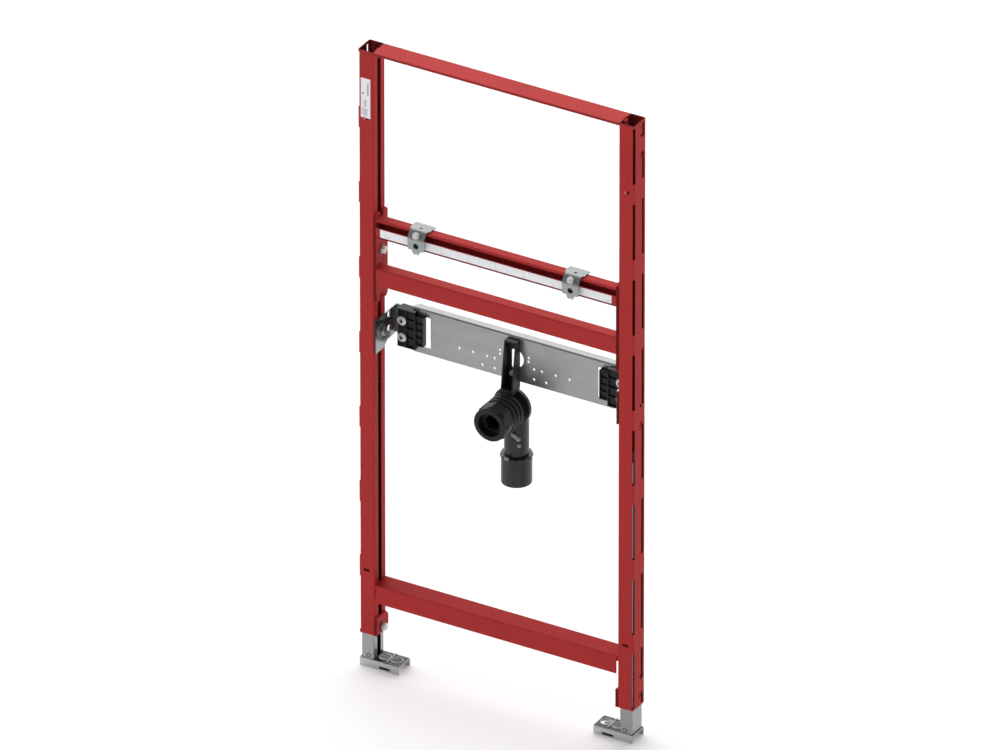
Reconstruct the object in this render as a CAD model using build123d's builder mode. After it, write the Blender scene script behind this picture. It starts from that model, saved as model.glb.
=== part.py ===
from build123d import *
import os

# Washbasin installation frame: millimetres, +X right, +Y to the wall behind, +Z up.
# The origin is on the floor, at the middle of the overall width and depth.

# Overall frame
frame_width = 500.0
frame_height = 1120.0

# Uprights: rolled C-profiles that open towards the middle of the frame
post_width = 28.0
post_depth = 37.0
post_wall = 2.0
post_bend = 2.8
post_slot = 11.0
post_bottom = 60.0

# Slots along the uprights' outer front corners and, beside the back, in their outer webs
slot_count = 8
slot_length = 100.0
slot_margin = 4.0
front_slot_width = 5.0
front_slot_reach = 3.0
back_slot_width = 6.5
back_slot_from_back = 8.5

# Hook slots in the outer webs, in pairs, each pair beside a bridge between back slots
hook_pair_below_top = 42.0
hook_pair_above_bottom = 36.0
hook_spread = 16.5
hook_length = 10.0
hook_width = 3.6
hook_tilt = 35.0
hook_from_back = 14.0
hook_bridge = 27.0

# Top and lower rail, welded between the uprights
rail_wall = 2.0
rail_bend = 0.8
top_rail_height = 4.4
top_rail_edge = 0.8
top_rail_lug = 4.0
top_rail_lug_height = 14.0
top_rail_lug_below_top = 2.0
top_rail_lug_play = 0.3
lower_rail_bottom = 121.0
lower_rail_height = 32.0
lower_rail_relief = 3.0

# Feet: C-tubes that slide in the uprights, each welded to an inverted channel
foot_play = 0.5
foot_wall = 2.0
foot_bend = 2.6
foot_tube_top = 512.0
foot_base_length = 71.0
foot_base_height = 14.5
foot_base_bend = 0.8
foot_base_inset = 1.0
anchor_hole_diameter = 18.0
anchor_hole_from_end = 13.5
key_hole_diameter = 20.0
key_hole_from_end = 36.0
bead_from_end = 24.2
bead_width = 3.6
flange_slot_length = 20.0
flange_slot_height = 4.0
flange_slot_from_end = 26.0
flange_slot_above_floor = 4.5

# Clamp plates over the uprights' lower ends
clamp_plate_thickness = 4.0
clamp_plate_height = 32.0
clamp_plate_chamfer = 7.0
clamp_bolt_above_bottom = 10.0
plate_bolt_hole = 8.5

# Tap plate behind the uprights, forked at both ends
tap_plate_height = 80.0
tap_plate_bottom = 564.0
tap_plate_thickness = 2.0
tap_plate_bend = 1.5
tap_plate_flange = 14.0
tap_plate_setback = 58.0
tap_plate_corner = 3.0
flange_end_chamfer = 6.0
tap_hole_diameter = 35.0
small_hole_diameter = 4.6
fork_depth = 32.0
fork_height = 55.0

# Small holes of the tap plate: height above its bottom edge, distances from its middle
small_hole_rows = [
    (29.0, [36.0, 50.0, 75.0, 100.0]),
    (11.0, [36.0, 58.0]),
    (40.0, [26.0]),
    (47.0, [26.0]),
]

# Plate brackets, from the uprights back to the damper blocks
slide_gap = 0.3
bracket_thickness = 3.0
bracket_bend = 1.5
bracket_above_plate_bottom = 12.0
bracket_height = 60.0
bracket_behind_plate = 11.0
bracket_flange = 33.0
bracket_slant = 9.0
bracket_bolt_above_bottom = 34.0
bracket_hole_diameter = 11.0
bracket_hole_behind_post = 5.5
bracket_hole_above_bottom = 28.0
bracket_hole_below_top = 7.0

# Damper blocks: rubber, each grips one end of the tap plate
damper_side_gap = 11.7
damper_width = 32.0
damper_step_width = 15.0
damper_grip = 9.0
damper_above_plate_bottom = 8.0
damper_height = 68.0
damper_step_above_bottom = 9.0
damper_step_height = 52.0
damper_before_plate = 10.0
damper_rib = 2.0
damper_recess = 3.0
damper_rows = 4

# Basin traverse: two rails between end plates that slide on the uprights
traverse_gap = 32.0
end_plate_thickness = 4.0
end_plate_height = 161.0
end_plate_chamfer = 5.0
end_plate_notch_depth = 12.0
end_plate_bolt_above_bottom = 91.0
scale_rail_above_end = 119.0
scale_rail_height = 34.0
scale_rail_depth = 19.0
scale_rail_upper_lip = 3.4
scale_rail_lower_lip = 19.5
middle_rail_above_end = 33.0
middle_rail_height = 31.0
middle_rail_depth = 22.0
middle_rail_lip = 5.0
tape_height = 14.0
tape_thickness = 0.5
tape_top_below_lip = 1.0
tape_end_gap = 8.0

# Basin clamps on the scale rail
basin_clamp_spacing = 280.0
basin_clamp_width = 30.0
basin_clamp_thickness = 2.0
basin_clamp_bend = 5.0
basin_clamp_depth = 23.0
basin_clamp_top_width = 36.0
basin_clamp_top_from_front = 4.0
basin_clamp_reach = 9.0
basin_clamp_drop = 9.5
basin_clamp_below_top = 30.0
basin_clamp_chamfer = 2.0
tongue_width = 14.0
tongue_drop = 8.0
tongue_notch = 3.0
basin_thread_diameter = 10.0
basin_thread_below_top = 22.0
thread_collar_diameter = 15.0
thread_collar_gap = 1.2
locator_hole_diameter = 4.5
locator_hole_from_front = 8.5

# Outlet: slotted arm, ribbed sleeve, elbow, rubber nipple and lower coupling
outlet_below_plate = 44.0
outlet_reach = 21.0
outlet_axis_behind_plate = 8.0
seat_gap = 0.2
arm_width = 22.0
arm_wall = 2.5
arm_depth = 12.0
arm_below_plate_top = 5.0
arm_pocket_below_plate = 7.0
arm_saddle_depth = 25.0
arm_saddle_overlap = 4.0
arm_slot_width = 7.0
arm_slot_length = 36.0
nipple_length = 27.0
nipple_diameter = 61.0
nipple_rim_diameter = 57.0
nipple_rim_length = 7.0
nipple_rim_chamfer = 1.5
nipple_side_count = 8
nipple_mouth_diameter = 40.0
nipple_mouth_depth = 12.0
nipple_hex_width = 25.0
nipple_hex_count = 6
sleeve_diameter = 60.0
sleeve_groove_diameter = 53.0
sleeve_rib_length = 7.5
sleeve_groove_length = 3.0
sleeve_rib_chamfer = 2.0
sleeve_rib_count = 3
elbow_wall = 3.0
elbow_pipe_diameter = 40.0
elbow_bend_radius = 26.0
elbow_socket_diameter = 46.0
elbow_ring_diameter = 66.0
elbow_ring_length = 6.0
elbow_ring_before_plate = 8.0
pipe_drop = 92.0
coupling_length = 51.0
coupling_collar_diameter = 53.0
coupling_collar_height = 6.0
coupling_collar_chamfer = 1.5
coupling_collar_count = 12
coupling_diameter = 50.0
coupling_wall = 2.5

# Depths that follow from the sizes above
outlet_axis_setback = tap_plate_setback + outlet_axis_behind_plate
outlet_back = outlet_axis_setback + coupling_collar_diameter / 2
front_plane = (outlet_reach - outlet_back) / 2
back_plane = front_plane + post_depth
post_middle = front_plane + post_depth / 2
plate_front = front_plane + tap_plate_setback
plate_back = plate_front + tap_plate_thickness
outlet_front = front_plane - outlet_reach
outlet_axis = front_plane + outlet_axis_setback

# Widths that follow
post_outer = frame_width / 2
post_inner = post_outer - post_width
post_length = frame_height - post_bottom
slide_face = post_inner - slide_gap
end_plate_face = slide_face - end_plate_thickness
bracket_inside = slide_face - bracket_thickness
damper_outer_x = bracket_inside - damper_side_gap
damper_step_x = damper_outer_x - damper_width
damper_inner_x = damper_step_x - damper_step_width
plate_end = damper_step_x + damper_grip

# Heights that follow
plate_top = tap_plate_bottom + tap_plate_height
plate_middle = tap_plate_bottom + tap_plate_height / 2
bracket_bottom = tap_plate_bottom + bracket_above_plate_bottom
bracket_top = bracket_bottom + bracket_height
damper_bottom = tap_plate_bottom + damper_above_plate_bottom
damper_top = damper_bottom + damper_height
damper_step_bottom = damper_bottom + damper_step_above_bottom
damper_step_top = damper_step_bottom + damper_step_height
end_plate_bottom = bracket_top + traverse_gap
end_plate_top = end_plate_bottom + end_plate_height
outlet_height = tap_plate_bottom - outlet_below_plate
coupling_top = outlet_height - pipe_drop
coupling_bottom = coupling_top - coupling_length

os.makedirs("parts", exist_ok=True)


def write_node(piece, node):
    """Label a finished solid and write it as one node."""
    piece.label = node
    export_step(piece, f"parts/{node}.step")


def write_pair(piece, name):
    """Write a right-hand solid, and its mirror image as the left-hand one."""
    left = mirror(piece, about=Plane.YZ)
    write_node(piece, f"right_{name}")
    write_node(left, f"left_{name}")


def bent_sheet(plane, points, thickness, bend, side=Side.LEFT):
    """Section of a bent sheet: the points run along one face, and the sheet lies to the given side."""
    with BuildSketch(plane) as section:
        with BuildLine():
            FilletPolyline(*points, radius=bend)
            offset(amount=thickness, side=side)
        make_face()
    return section.sketch


def c_tube(bottom, width, depth, wall, bend, slot, length):
    """C-tube about an upright's middle line, open towards the middle of the frame."""
    middle_x = post_inner + post_width / 2
    with BuildPart() as tube:
        with BuildSketch(Plane.XY.offset(bottom)):
            with Locations((middle_x, post_middle)):
                RectangleRounded(width, depth, bend)
                RectangleRounded(width - 2 * wall, depth - 2 * wall, bend - wall, mode=Mode.SUBTRACT)
            with Locations((middle_x - width / 2, post_middle)):
                Rectangle(3 * wall, slot, mode=Mode.SUBTRACT)
        extrude(amount=length)
    return tube.part


# Uprights, with slots along the outer front corner, back slots and pairs of hook slots in the outer web
slot_pitch = (post_length - 2 * slot_margin - slot_length) / (slot_count - 1)
slot_lows = [post_bottom + slot_margin + i * slot_pitch for i in range(slot_count)]
slot_spans = [(low, low + slot_length) for low in slot_lows]
hook_heights = [
    post_bottom + hook_pair_above_bottom,
    post_bottom + post_length / 2,
    frame_height - hook_pair_below_top,
]


def bridged(span):
    """Parts of a back slot that are left when the bridges between hook slots are taken out."""
    low, high = span
    for height in hook_heights:
        if low < height < high:
            return [(low, height - hook_bridge / 2), (height + hook_bridge / 2, high)]
    return [span]


back_spans = [part for span in slot_spans for part in bridged(span)]
with BuildPart() as upright:
    add(c_tube(post_bottom, post_width, post_depth, post_wall, post_bend, post_slot, post_length))
    for low, high in slot_spans:
        with Locations((post_outer, front_plane, low)):
            Box(
                2 * front_slot_reach,
                2 * front_slot_width,
                high - low,
                align=(Align.CENTER, Align.CENTER, Align.MIN),
                mode=Mode.SUBTRACT,
            )
    for low, high in back_spans:
        with Locations((post_outer, back_plane - back_slot_from_back, low)):
            Box(
                2 * post_wall,
                back_slot_width,
                high - low,
                align=(Align.CENTER, Align.CENTER, Align.MIN),
                mode=Mode.SUBTRACT,
            )
    with BuildSketch(Plane.YZ.offset(post_outer - post_wall)):
        for height in hook_heights:
            for end in (-1, 1):
                with Locations((back_plane - hook_from_back, height + end * hook_spread)):
                    SlotOverall(hook_length, hook_width, rotation=90 + end * hook_tilt)
    extrude(amount=post_wall, mode=Mode.SUBTRACT)
write_pair(upright.part, "upright")

# Top rail: flat bar, flush with the uprights' tops, with a lug in each upright's C-slot
top_rail_lug_top = frame_height - top_rail_lug_below_top
with BuildPart() as top_rail:
    with Locations((0, post_middle, frame_height)):
        Box(2 * post_inner, post_depth, top_rail_height, align=(Align.CENTER, Align.CENTER, Align.MAX))
    fillet(top_rail.edges().filter_by(Axis.X), radius=top_rail_edge)
    for side in (-1, 1):
        with Locations((side * (post_inner + top_rail_lug / 2), post_middle, top_rail_lug_top)):
            Box(
                top_rail_lug,
                post_slot - 2 * top_rail_lug_play,
                top_rail_lug_height,
                align=(Align.CENTER, Align.CENTER, Align.MAX),
            )
top_rail.part.label = "top_rail"
export_step(top_rail.part, "parts/top_rail.step")

# Lower rail: inverted channel whose flanges stop short of the uprights
lower_rail_top = lower_rail_bottom + lower_rail_height
flange_height = lower_rail_height - rail_wall - rail_bend
relief_middle = lower_rail_bottom + flange_height / 2
with BuildPart() as lower_rail:
    extrude(
        bent_sheet(
            Plane.YZ.offset(-post_inner),
            [
                (back_plane, lower_rail_bottom),
                (back_plane, lower_rail_top),
                (front_plane, lower_rail_top),
                (front_plane, lower_rail_bottom),
            ],
            rail_wall,
            rail_bend + rail_wall,
        ),
        amount=2 * post_inner,
    )
    with Locations([(side * post_inner, post_middle, relief_middle) for side in (-1, 1)]):
        Box(2 * lower_rail_relief, post_depth, flange_height, mode=Mode.SUBTRACT)
lower_rail.part.label = "lower_rail"
export_step(lower_rail.part, "parts/lower_rail.step")

# Foot tubes, a sliding fit in the uprights
foot_tube_width = post_width - 2 * (post_wall + foot_play)
foot_tube_depth = post_depth - 2 * (post_wall + foot_play)
with BuildPart() as foot_tube:
    add(
        c_tube(
            foot_base_height,
            foot_tube_width,
            foot_tube_depth,
            foot_wall,
            foot_bend,
            post_slot,
            foot_tube_top - foot_base_height,
        )
    )
write_pair(foot_tube.part, "foot_tube")

# Foot bases: inverted channels with an anchor hole, a key hole and a bead between them,
# and a slot in the front flange
foot_base_outer = post_outer - foot_base_inset
foot_base_inner = foot_base_outer - foot_base_length
with BuildPart() as foot_base:
    extrude(
        bent_sheet(
            Plane.YZ.offset(foot_base_inner),
            [
                (back_plane, 0),
                (back_plane, foot_base_height),
                (front_plane, foot_base_height),
                (front_plane, 0),
            ],
            foot_wall,
            foot_base_bend + foot_wall,
        ),
        amount=foot_base_length,
    )
    with Locations((foot_base_inner + anchor_hole_from_end, post_middle, foot_base_height)):
        Hole(anchor_hole_diameter / 2, depth=2 * foot_wall)
    with Locations((foot_base_inner + key_hole_from_end, post_middle, foot_base_height)):
        Hole(key_hole_diameter / 2, depth=2 * foot_wall)
    with Locations((foot_base_inner + flange_slot_from_end, front_plane, flange_slot_above_floor)):
        Box(flange_slot_length, 2 * foot_wall, flange_slot_height, mode=Mode.SUBTRACT)
    bead_end = back_plane - foot_wall - foot_base_bend
    with BuildSketch(Plane.XZ.offset(-bead_end)):
        with Locations((foot_base_inner + bead_from_end, foot_base_height)):
            Circle(bead_width / 2)
    extrude(amount=2 * (bead_end - post_middle))
write_pair(foot_base.part, "foot_base")

# Clamp plates on the uprights' lower ends, over the C-slot
with BuildPart() as foot_clamp_plate:
    with BuildSketch(Plane.YZ.offset(post_inner - clamp_plate_thickness)) as clamp_outline:
        with Locations((post_middle, post_bottom + clamp_plate_height / 2)):
            Rectangle(post_depth, clamp_plate_height)
        chamfer(clamp_outline.vertices().group_by(Axis.X)[-1], length=clamp_plate_chamfer)
        with Locations((post_middle, post_bottom + clamp_bolt_above_bottom)):
            Circle(plate_bolt_hole / 2, mode=Mode.SUBTRACT)
    extrude(amount=clamp_plate_thickness)
write_pair(foot_clamp_plate.part, "foot_clamp_plate")

# End plates of the basin traverse, notched over the C-slot at top and bottom
with BuildPart() as end_plate:
    with BuildSketch(Plane.YZ.offset(end_plate_face)) as end_outline:
        with Locations((post_middle, (end_plate_bottom + end_plate_top) / 2)):
            Rectangle(post_depth, end_plate_top - end_plate_bottom)
        chamfer(end_outline.vertices(), length=end_plate_chamfer)
        with Locations((post_middle, end_plate_top), (post_middle, end_plate_bottom)):
            SlotOverall(2 * end_plate_notch_depth, post_slot, rotation=90, mode=Mode.SUBTRACT)
        with Locations((post_middle, end_plate_bottom + end_plate_bolt_above_bottom)):
            Circle(plate_bolt_hole / 2, mode=Mode.SUBTRACT)
    extrude(amount=end_plate_thickness)
write_pair(end_plate.part, "end_plate")

# Scale rail: C-profile that opens to the front above its lower lip
scale_rail_bottom = end_plate_bottom + scale_rail_above_end
scale_rail_top = scale_rail_bottom + scale_rail_height
scale_rail_back = front_plane + scale_rail_depth
with BuildPart() as scale_rail:
    extrude(
        bent_sheet(
            Plane.YZ.offset(-end_plate_face),
            [
                (front_plane, scale_rail_bottom + scale_rail_lower_lip),
                (front_plane, scale_rail_bottom),
                (scale_rail_back, scale_rail_bottom),
                (scale_rail_back, scale_rail_top),
                (front_plane, scale_rail_top),
                (front_plane, scale_rail_top - scale_rail_upper_lip),
            ],
            rail_wall,
            rail_bend + rail_wall,
            Side.RIGHT,
        ),
        amount=2 * end_plate_face,
    )
scale_rail.part.label = "scale_rail"
export_step(scale_rail.part, "parts/scale_rail.step")

# Scale tape on the scale rail's lower lip
tape_top = scale_rail_bottom + scale_rail_lower_lip - tape_top_below_lip
with BuildPart() as scale_tape:
    with Locations((0, front_plane, tape_top)):
        Box(
            2 * (end_plate_face - tape_end_gap),
            tape_thickness,
            tape_height,
            align=(Align.CENTER, Align.MAX, Align.MAX),
        )
scale_tape.part.label = "scale_tape"
export_step(scale_tape.part, "parts/scale_tape.step")

# Middle rail: channel with its web to the front and short lips at the back
middle_rail_bottom = end_plate_bottom + middle_rail_above_end
middle_rail_top = middle_rail_bottom + middle_rail_height
middle_rail_back = front_plane + middle_rail_depth
with BuildPart() as middle_rail:
    extrude(
        bent_sheet(
            Plane.YZ.offset(-end_plate_face),
            [
                (middle_rail_back, middle_rail_top - middle_rail_lip),
                (middle_rail_back, middle_rail_top),
                (front_plane, middle_rail_top),
                (front_plane, middle_rail_bottom),
                (middle_rail_back, middle_rail_bottom),
                (middle_rail_back, middle_rail_bottom + middle_rail_lip),
            ],
            rail_wall,
            rail_bend + rail_wall,
        ),
        amount=2 * end_plate_face,
    )
middle_rail.part.label = "middle_rail"
export_step(middle_rail.part, "parts/middle_rail.step")

# Basin clamps: one bent strip over the scale rail, wider on top, with a pulled thread in its front
clamp_seat = scale_rail_top + slide_gap
clamp_x = basin_clamp_spacing / 2
basin_clamp_bottom = scale_rail_top - basin_clamp_below_top
basin_thread_height = scale_rail_top - basin_thread_below_top
clamp_front = front_plane - basin_clamp_reach
clamp_back = front_plane + basin_clamp_depth
clamp_inside = clamp_front + basin_clamp_thickness
collar_length = front_plane - thread_collar_gap - clamp_inside
with BuildPart() as basin_clamp:
    extrude(
        bent_sheet(
            Plane.YZ.offset(clamp_x - basin_clamp_width / 2),
            [
                (clamp_back, clamp_seat),
                (front_plane, clamp_seat),
                (clamp_inside, clamp_seat - basin_clamp_drop),
                (clamp_inside, basin_clamp_bottom),
            ],
            basin_clamp_thickness,
            basin_clamp_bend,
            Side.RIGHT,
        ),
        amount=basin_clamp_width,
    )
    with Locations((clamp_x, clamp_back, clamp_seat)):
        Box(
            basin_clamp_top_width,
            basin_clamp_depth - basin_clamp_top_from_front,
            basin_clamp_thickness,
            align=(Align.CENTER, Align.MAX, Align.MIN),
        )
    lower_corners = basin_clamp.edges().filter_by(Axis.Y).group_by(Axis.Z)[0]
    chamfer(lower_corners, length=basin_clamp_chamfer)
    with BuildSketch(Plane.XZ.offset(-clamp_inside)):
        with Locations((clamp_x, basin_clamp_bottom)):
            SlotOverall(2 * tongue_drop, tongue_width, rotation=90)
    extrude(amount=basin_clamp_thickness)
    with Locations((clamp_x, clamp_front, basin_clamp_bottom - tongue_drop)):
        Box(tongue_notch, 2 * basin_clamp_thickness, 2 * tongue_notch, mode=Mode.SUBTRACT)
    with BuildSketch(Plane.XZ.offset(-clamp_inside)):
        with Locations((clamp_x, basin_thread_height)):
            Circle(thread_collar_diameter / 2)
    extrude(amount=-collar_length)
    with BuildSketch(Plane.XZ.offset(-clamp_front)):
        with Locations((clamp_x, basin_thread_height)):
            Circle(basin_thread_diameter / 2)
    extrude(amount=-(basin_clamp_thickness + collar_length), mode=Mode.SUBTRACT)
    with Locations((clamp_x, front_plane + locator_hole_from_front, clamp_seat + basin_clamp_thickness)):
        Hole(locator_hole_diameter / 2, depth=2 * basin_clamp_thickness)
write_pair(basin_clamp.part, "basin_clamp")

# Tap plate: sheet with its top edge bent back, forked ends, a middle hole and rows of small holes
with BuildPart() as tap_plate:
    extrude(
        bent_sheet(
            Plane.YZ.offset(-plate_end),
            [
                (plate_front, tap_plate_bottom),
                (plate_front, plate_top),
                (plate_front + tap_plate_flange, plate_top),
            ],
            tap_plate_thickness,
            tap_plate_bend + tap_plate_thickness,
            Side.RIGHT,
        ),
        amount=2 * plate_end,
    )
    fillet(tap_plate.edges().filter_by(Axis.Y).group_by(Axis.Z)[0], radius=tap_plate_corner)
    chamfer(tap_plate.edges().filter_by(Axis.Z).group_by(Axis.Y)[-1], length=flange_end_chamfer)
    with BuildSketch(Plane.XZ.offset(-plate_front)):
        with Locations((0, plate_middle)):
            Circle(tap_hole_diameter / 2)
        with Locations([(side * plate_end, plate_middle) for side in (-1, 1)]):
            Rectangle(2 * fork_depth, fork_height)
        for height, distances in small_hole_rows:
            with Locations([(side * x, tap_plate_bottom + height) for side in (-1, 1) for x in distances]):
                Circle(small_hole_diameter / 2)
    extrude(amount=-tap_plate_thickness, mode=Mode.SUBTRACT)
tap_plate.part.label = "tap_plate"
export_step(tap_plate.part, "parts/tap_plate.step")

# Plate brackets: a cheek on the upright, bent into a flange behind the damper block
bracket_back = plate_front + bracket_behind_plate
with BuildPart() as plate_bracket:
    extrude(
        bent_sheet(
            Plane.XY.offset(bracket_bottom),
            [
                (slide_face, front_plane),
                (slide_face, bracket_back),
                (slide_face - bracket_flange, bracket_back),
            ],
            bracket_thickness,
            bracket_bend + bracket_thickness,
        ),
        amount=bracket_height,
    )
    with BuildSketch(Plane.YZ.offset(slide_face - bracket_flange)):
        with BuildLine():
            Polyline(
                (back_plane - bracket_slant, bracket_bottom),
                (back_plane, bracket_bottom + bracket_slant),
                (bracket_back, bracket_bottom + bracket_slant),
                (bracket_back, bracket_bottom),
                close=True,
            )
        make_face()
    extrude(amount=bracket_flange, mode=Mode.SUBTRACT)
    with BuildSketch(Plane.YZ.offset(bracket_inside)):
        with Locations((post_middle, bracket_bottom + bracket_bolt_above_bottom)):
            Circle(plate_bolt_hole / 2)
        with Locations(
            (back_plane + bracket_hole_behind_post, bracket_bottom + bracket_hole_above_bottom),
            (back_plane + bracket_hole_behind_post, bracket_top - bracket_hole_below_top),
        ):
            Circle(bracket_hole_diameter / 2)
    extrude(amount=bracket_thickness, mode=Mode.SUBTRACT)
write_pair(plate_bracket.part, "plate_bracket")

# Damper blocks: stepped rubber blocks, slit for the plate's fork, with a grid of shallow pockets
damper_face = plate_front - damper_before_plate
damper_back = bracket_back - bracket_thickness
pocket_height = (damper_height - (damper_rows + 1) * damper_rib) / damper_rows
step_pocket_height = (damper_step_height - (damper_rows + 1) * damper_rib) / damper_rows
with BuildPart() as damper_block:
    with BuildSketch(Plane.XZ.offset(-damper_back)):
        with Locations(((damper_outer_x + damper_step_x) / 2, (damper_bottom + damper_top) / 2)):
            Rectangle(damper_width, damper_height)
    extrude(amount=damper_back - damper_face)
    with BuildSketch(Plane.XZ.offset(-plate_front)):
        with Locations(((damper_step_x + damper_inner_x) / 2, (damper_step_bottom + damper_step_top) / 2)):
            Rectangle(damper_step_width, damper_step_height)
    extrude(amount=plate_front - damper_face)
    with BuildSketch(Plane.XZ.offset(-plate_back)):
        with Locations((plate_end, plate_middle)):
            Rectangle(damper_grip, tap_plate_height, align=(Align.MAX, Align.CENTER))
            Rectangle(damper_grip, fork_height, align=(Align.MAX, Align.CENTER), mode=Mode.SUBTRACT)
    extrude(amount=tap_plate_thickness, mode=Mode.SUBTRACT)
    with BuildSketch(Plane.XZ.offset(-damper_face)):
        for row in range(damper_rows):
            low = damper_bottom + damper_rib + row * (pocket_height + damper_rib)
            with Locations((damper_step_x + damper_rib, low)):
                Rectangle(
                    damper_width / 2 - 1.5 * damper_rib,
                    pocket_height,
                    align=(Align.MIN, Align.MIN),
                )
            step_low = damper_step_bottom + damper_rib + row * (step_pocket_height + damper_rib)
            with Locations((damper_inner_x + damper_rib, step_low)):
                Rectangle(
                    damper_step_width - 1.5 * damper_rib,
                    step_pocket_height,
                    align=(Align.MIN, Align.MIN),
                )
    extrude(amount=-damper_recess, mode=Mode.SUBTRACT)
write_pair(damper_block.part, "damper_block")

# Outlet arm: slotted channel on the tap plate that leans forward to the sleeve
sleeve_front = outlet_front + nipple_length
elbow_ring_front = plate_front - elbow_ring_before_plate
arm_front = plate_front - arm_depth
arm_top = plate_top - arm_below_plate_top
arm_foot = outlet_height + sleeve_diameter / 2 - arm_saddle_overlap
arm_pocket_bottom = tap_plate_bottom - arm_pocket_below_plate
with BuildPart() as outlet_arm:
    with BuildSketch(Plane.YZ.offset(-arm_width / 2)):
        with BuildLine():
            Polyline(
                (plate_front, arm_top),
                (arm_front, arm_top),
                (plate_front - arm_saddle_depth, arm_foot),
                (elbow_ring_front, arm_foot),
                (plate_front, arm_pocket_bottom - arm_wall),
                close=True,
            )
        make_face()
    extrude(amount=arm_width)
    with Locations((0, plate_front - arm_wall, arm_pocket_bottom)):
        Box(
            arm_width - 2 * arm_wall,
            arm_saddle_depth,
            arm_top - arm_pocket_bottom - arm_wall,
            align=(Align.CENTER, Align.MAX, Align.MIN),
            mode=Mode.SUBTRACT,
        )
    with BuildSketch(Plane.XZ.offset(-plate_front)):
        with Locations((0, plate_middle)):
            SlotOverall(arm_slot_length, arm_slot_width, rotation=90)
    extrude(amount=arm_wall, mode=Mode.SUBTRACT)
    with BuildSketch(Plane.XZ.offset(-outlet_front)):
        with Locations((0, outlet_height)):
            Circle(sleeve_diameter / 2 + seat_gap)
    extrude(amount=-(outlet_back + outlet_reach), mode=Mode.SUBTRACT)
    with BuildSketch(Plane.XZ.offset(-(elbow_ring_front - seat_gap))):
        with Locations((0, outlet_height)):
            Circle(elbow_ring_diameter / 2 + seat_gap)
    extrude(amount=-tap_plate_setback, mode=Mode.SUBTRACT)
outlet_arm.part.label = "outlet_arm"
export_step(outlet_arm.part, "parts/outlet_arm.step")

# Ribbed rubber sleeve round the elbow's socket
sleeve_rib_pitch = sleeve_rib_length + sleeve_groove_length
sleeve_length = sleeve_rib_count * sleeve_rib_pitch + sleeve_groove_length
with BuildPart() as outlet_sleeve:
    with BuildSketch(Plane.XZ.offset(-sleeve_front)):
        with Locations((0, outlet_height)):
            Circle(sleeve_groove_diameter / 2)
    extrude(amount=-sleeve_length)
    for rib in range(sleeve_rib_count):
        with BuildSketch(Plane.XZ.offset(-(sleeve_front + sleeve_groove_length + rib * sleeve_rib_pitch))):
            with Locations((0, outlet_height)):
                Circle(sleeve_diameter / 2)
        extrude(amount=-sleeve_rib_length)
    circles = outlet_sleeve.edges().filter_by(GeomType.CIRCLE)
    rib_edges = circles.filter_by(lambda edge: 2 * edge.radius > sleeve_groove_diameter)
    chamfer(rib_edges, length=sleeve_rib_chamfer)
    with BuildSketch(Plane.XZ.offset(-sleeve_front)):
        with Locations((0, outlet_height)):
            Circle(elbow_socket_diameter / 2 + seat_gap)
    extrude(amount=-sleeve_length, mode=Mode.SUBTRACT)
outlet_sleeve.part.label = "outlet_sleeve"
export_step(outlet_sleeve.part, "parts/outlet_sleeve.step")

# Elbow: a pipe swept round the bend, with a socket in the sleeve and a ring behind it
bore_diameter = elbow_pipe_diameter - 2 * elbow_wall
with BuildPart() as outlet_elbow:
    with BuildLine():
        elbow_run = FilletPolyline(
            (0, sleeve_front, outlet_height),
            (0, outlet_axis, outlet_height),
            (0, outlet_axis, coupling_top),
            radius=elbow_bend_radius,
        )
    with BuildSketch(Plane(origin=elbow_run @ 0, z_dir=elbow_run % 0)):
        Circle(elbow_pipe_diameter / 2)
    sweep(path=elbow_run)
    with BuildSketch(Plane.XZ.offset(-sleeve_front)):
        with Locations((0, outlet_height)):
            Circle(elbow_socket_diameter / 2)
    extrude(amount=-(elbow_ring_front - sleeve_front))
    with BuildSketch(Plane.XZ.offset(-elbow_ring_front)):
        with Locations((0, outlet_height)):
            Circle(elbow_ring_diameter / 2)
    extrude(amount=-elbow_ring_length)
    with BuildSketch(Plane(origin=elbow_run @ 0, z_dir=elbow_run % 0)):
        Circle(bore_diameter / 2)
    sweep(path=elbow_run, mode=Mode.SUBTRACT)
outlet_elbow.part.label = "outlet_elbow"
export_step(outlet_elbow.part, "parts/outlet_elbow.step")

# Rubber nipple: round rim, flats behind it, and a recessed mouth with a hexagonal opening
with BuildPart() as outlet_nipple:
    with BuildSketch(Plane.XZ.offset(-outlet_front)):
        with Locations((0, outlet_height)):
            Circle(nipple_rim_diameter / 2)
    extrude(amount=-nipple_rim_length)
    chamfer(outlet_nipple.edges().group_by(Axis.Y)[0], length=nipple_rim_chamfer)
    with BuildSketch(Plane.XZ.offset(-(outlet_front + nipple_rim_length))):
        with Locations((0, outlet_height)):
            RegularPolygon(nipple_diameter / 2, nipple_side_count, major_radius=True)
    extrude(amount=-(nipple_length - nipple_rim_length))
    with BuildSketch(Plane.XZ.offset(-outlet_front)):
        with Locations((0, outlet_height)):
            Circle(nipple_mouth_diameter / 2)
    extrude(amount=-nipple_mouth_depth, mode=Mode.SUBTRACT)
    with BuildSketch(Plane.XZ.offset(-outlet_front)):
        with Locations((0, outlet_height)):
            RegularPolygon(nipple_hex_width / 2, nipple_hex_count, major_radius=False)
    extrude(amount=-nipple_length, mode=Mode.SUBTRACT)
outlet_nipple.part.label = "outlet_nipple"
export_step(outlet_nipple.part, "parts/outlet_nipple.step")

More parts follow.
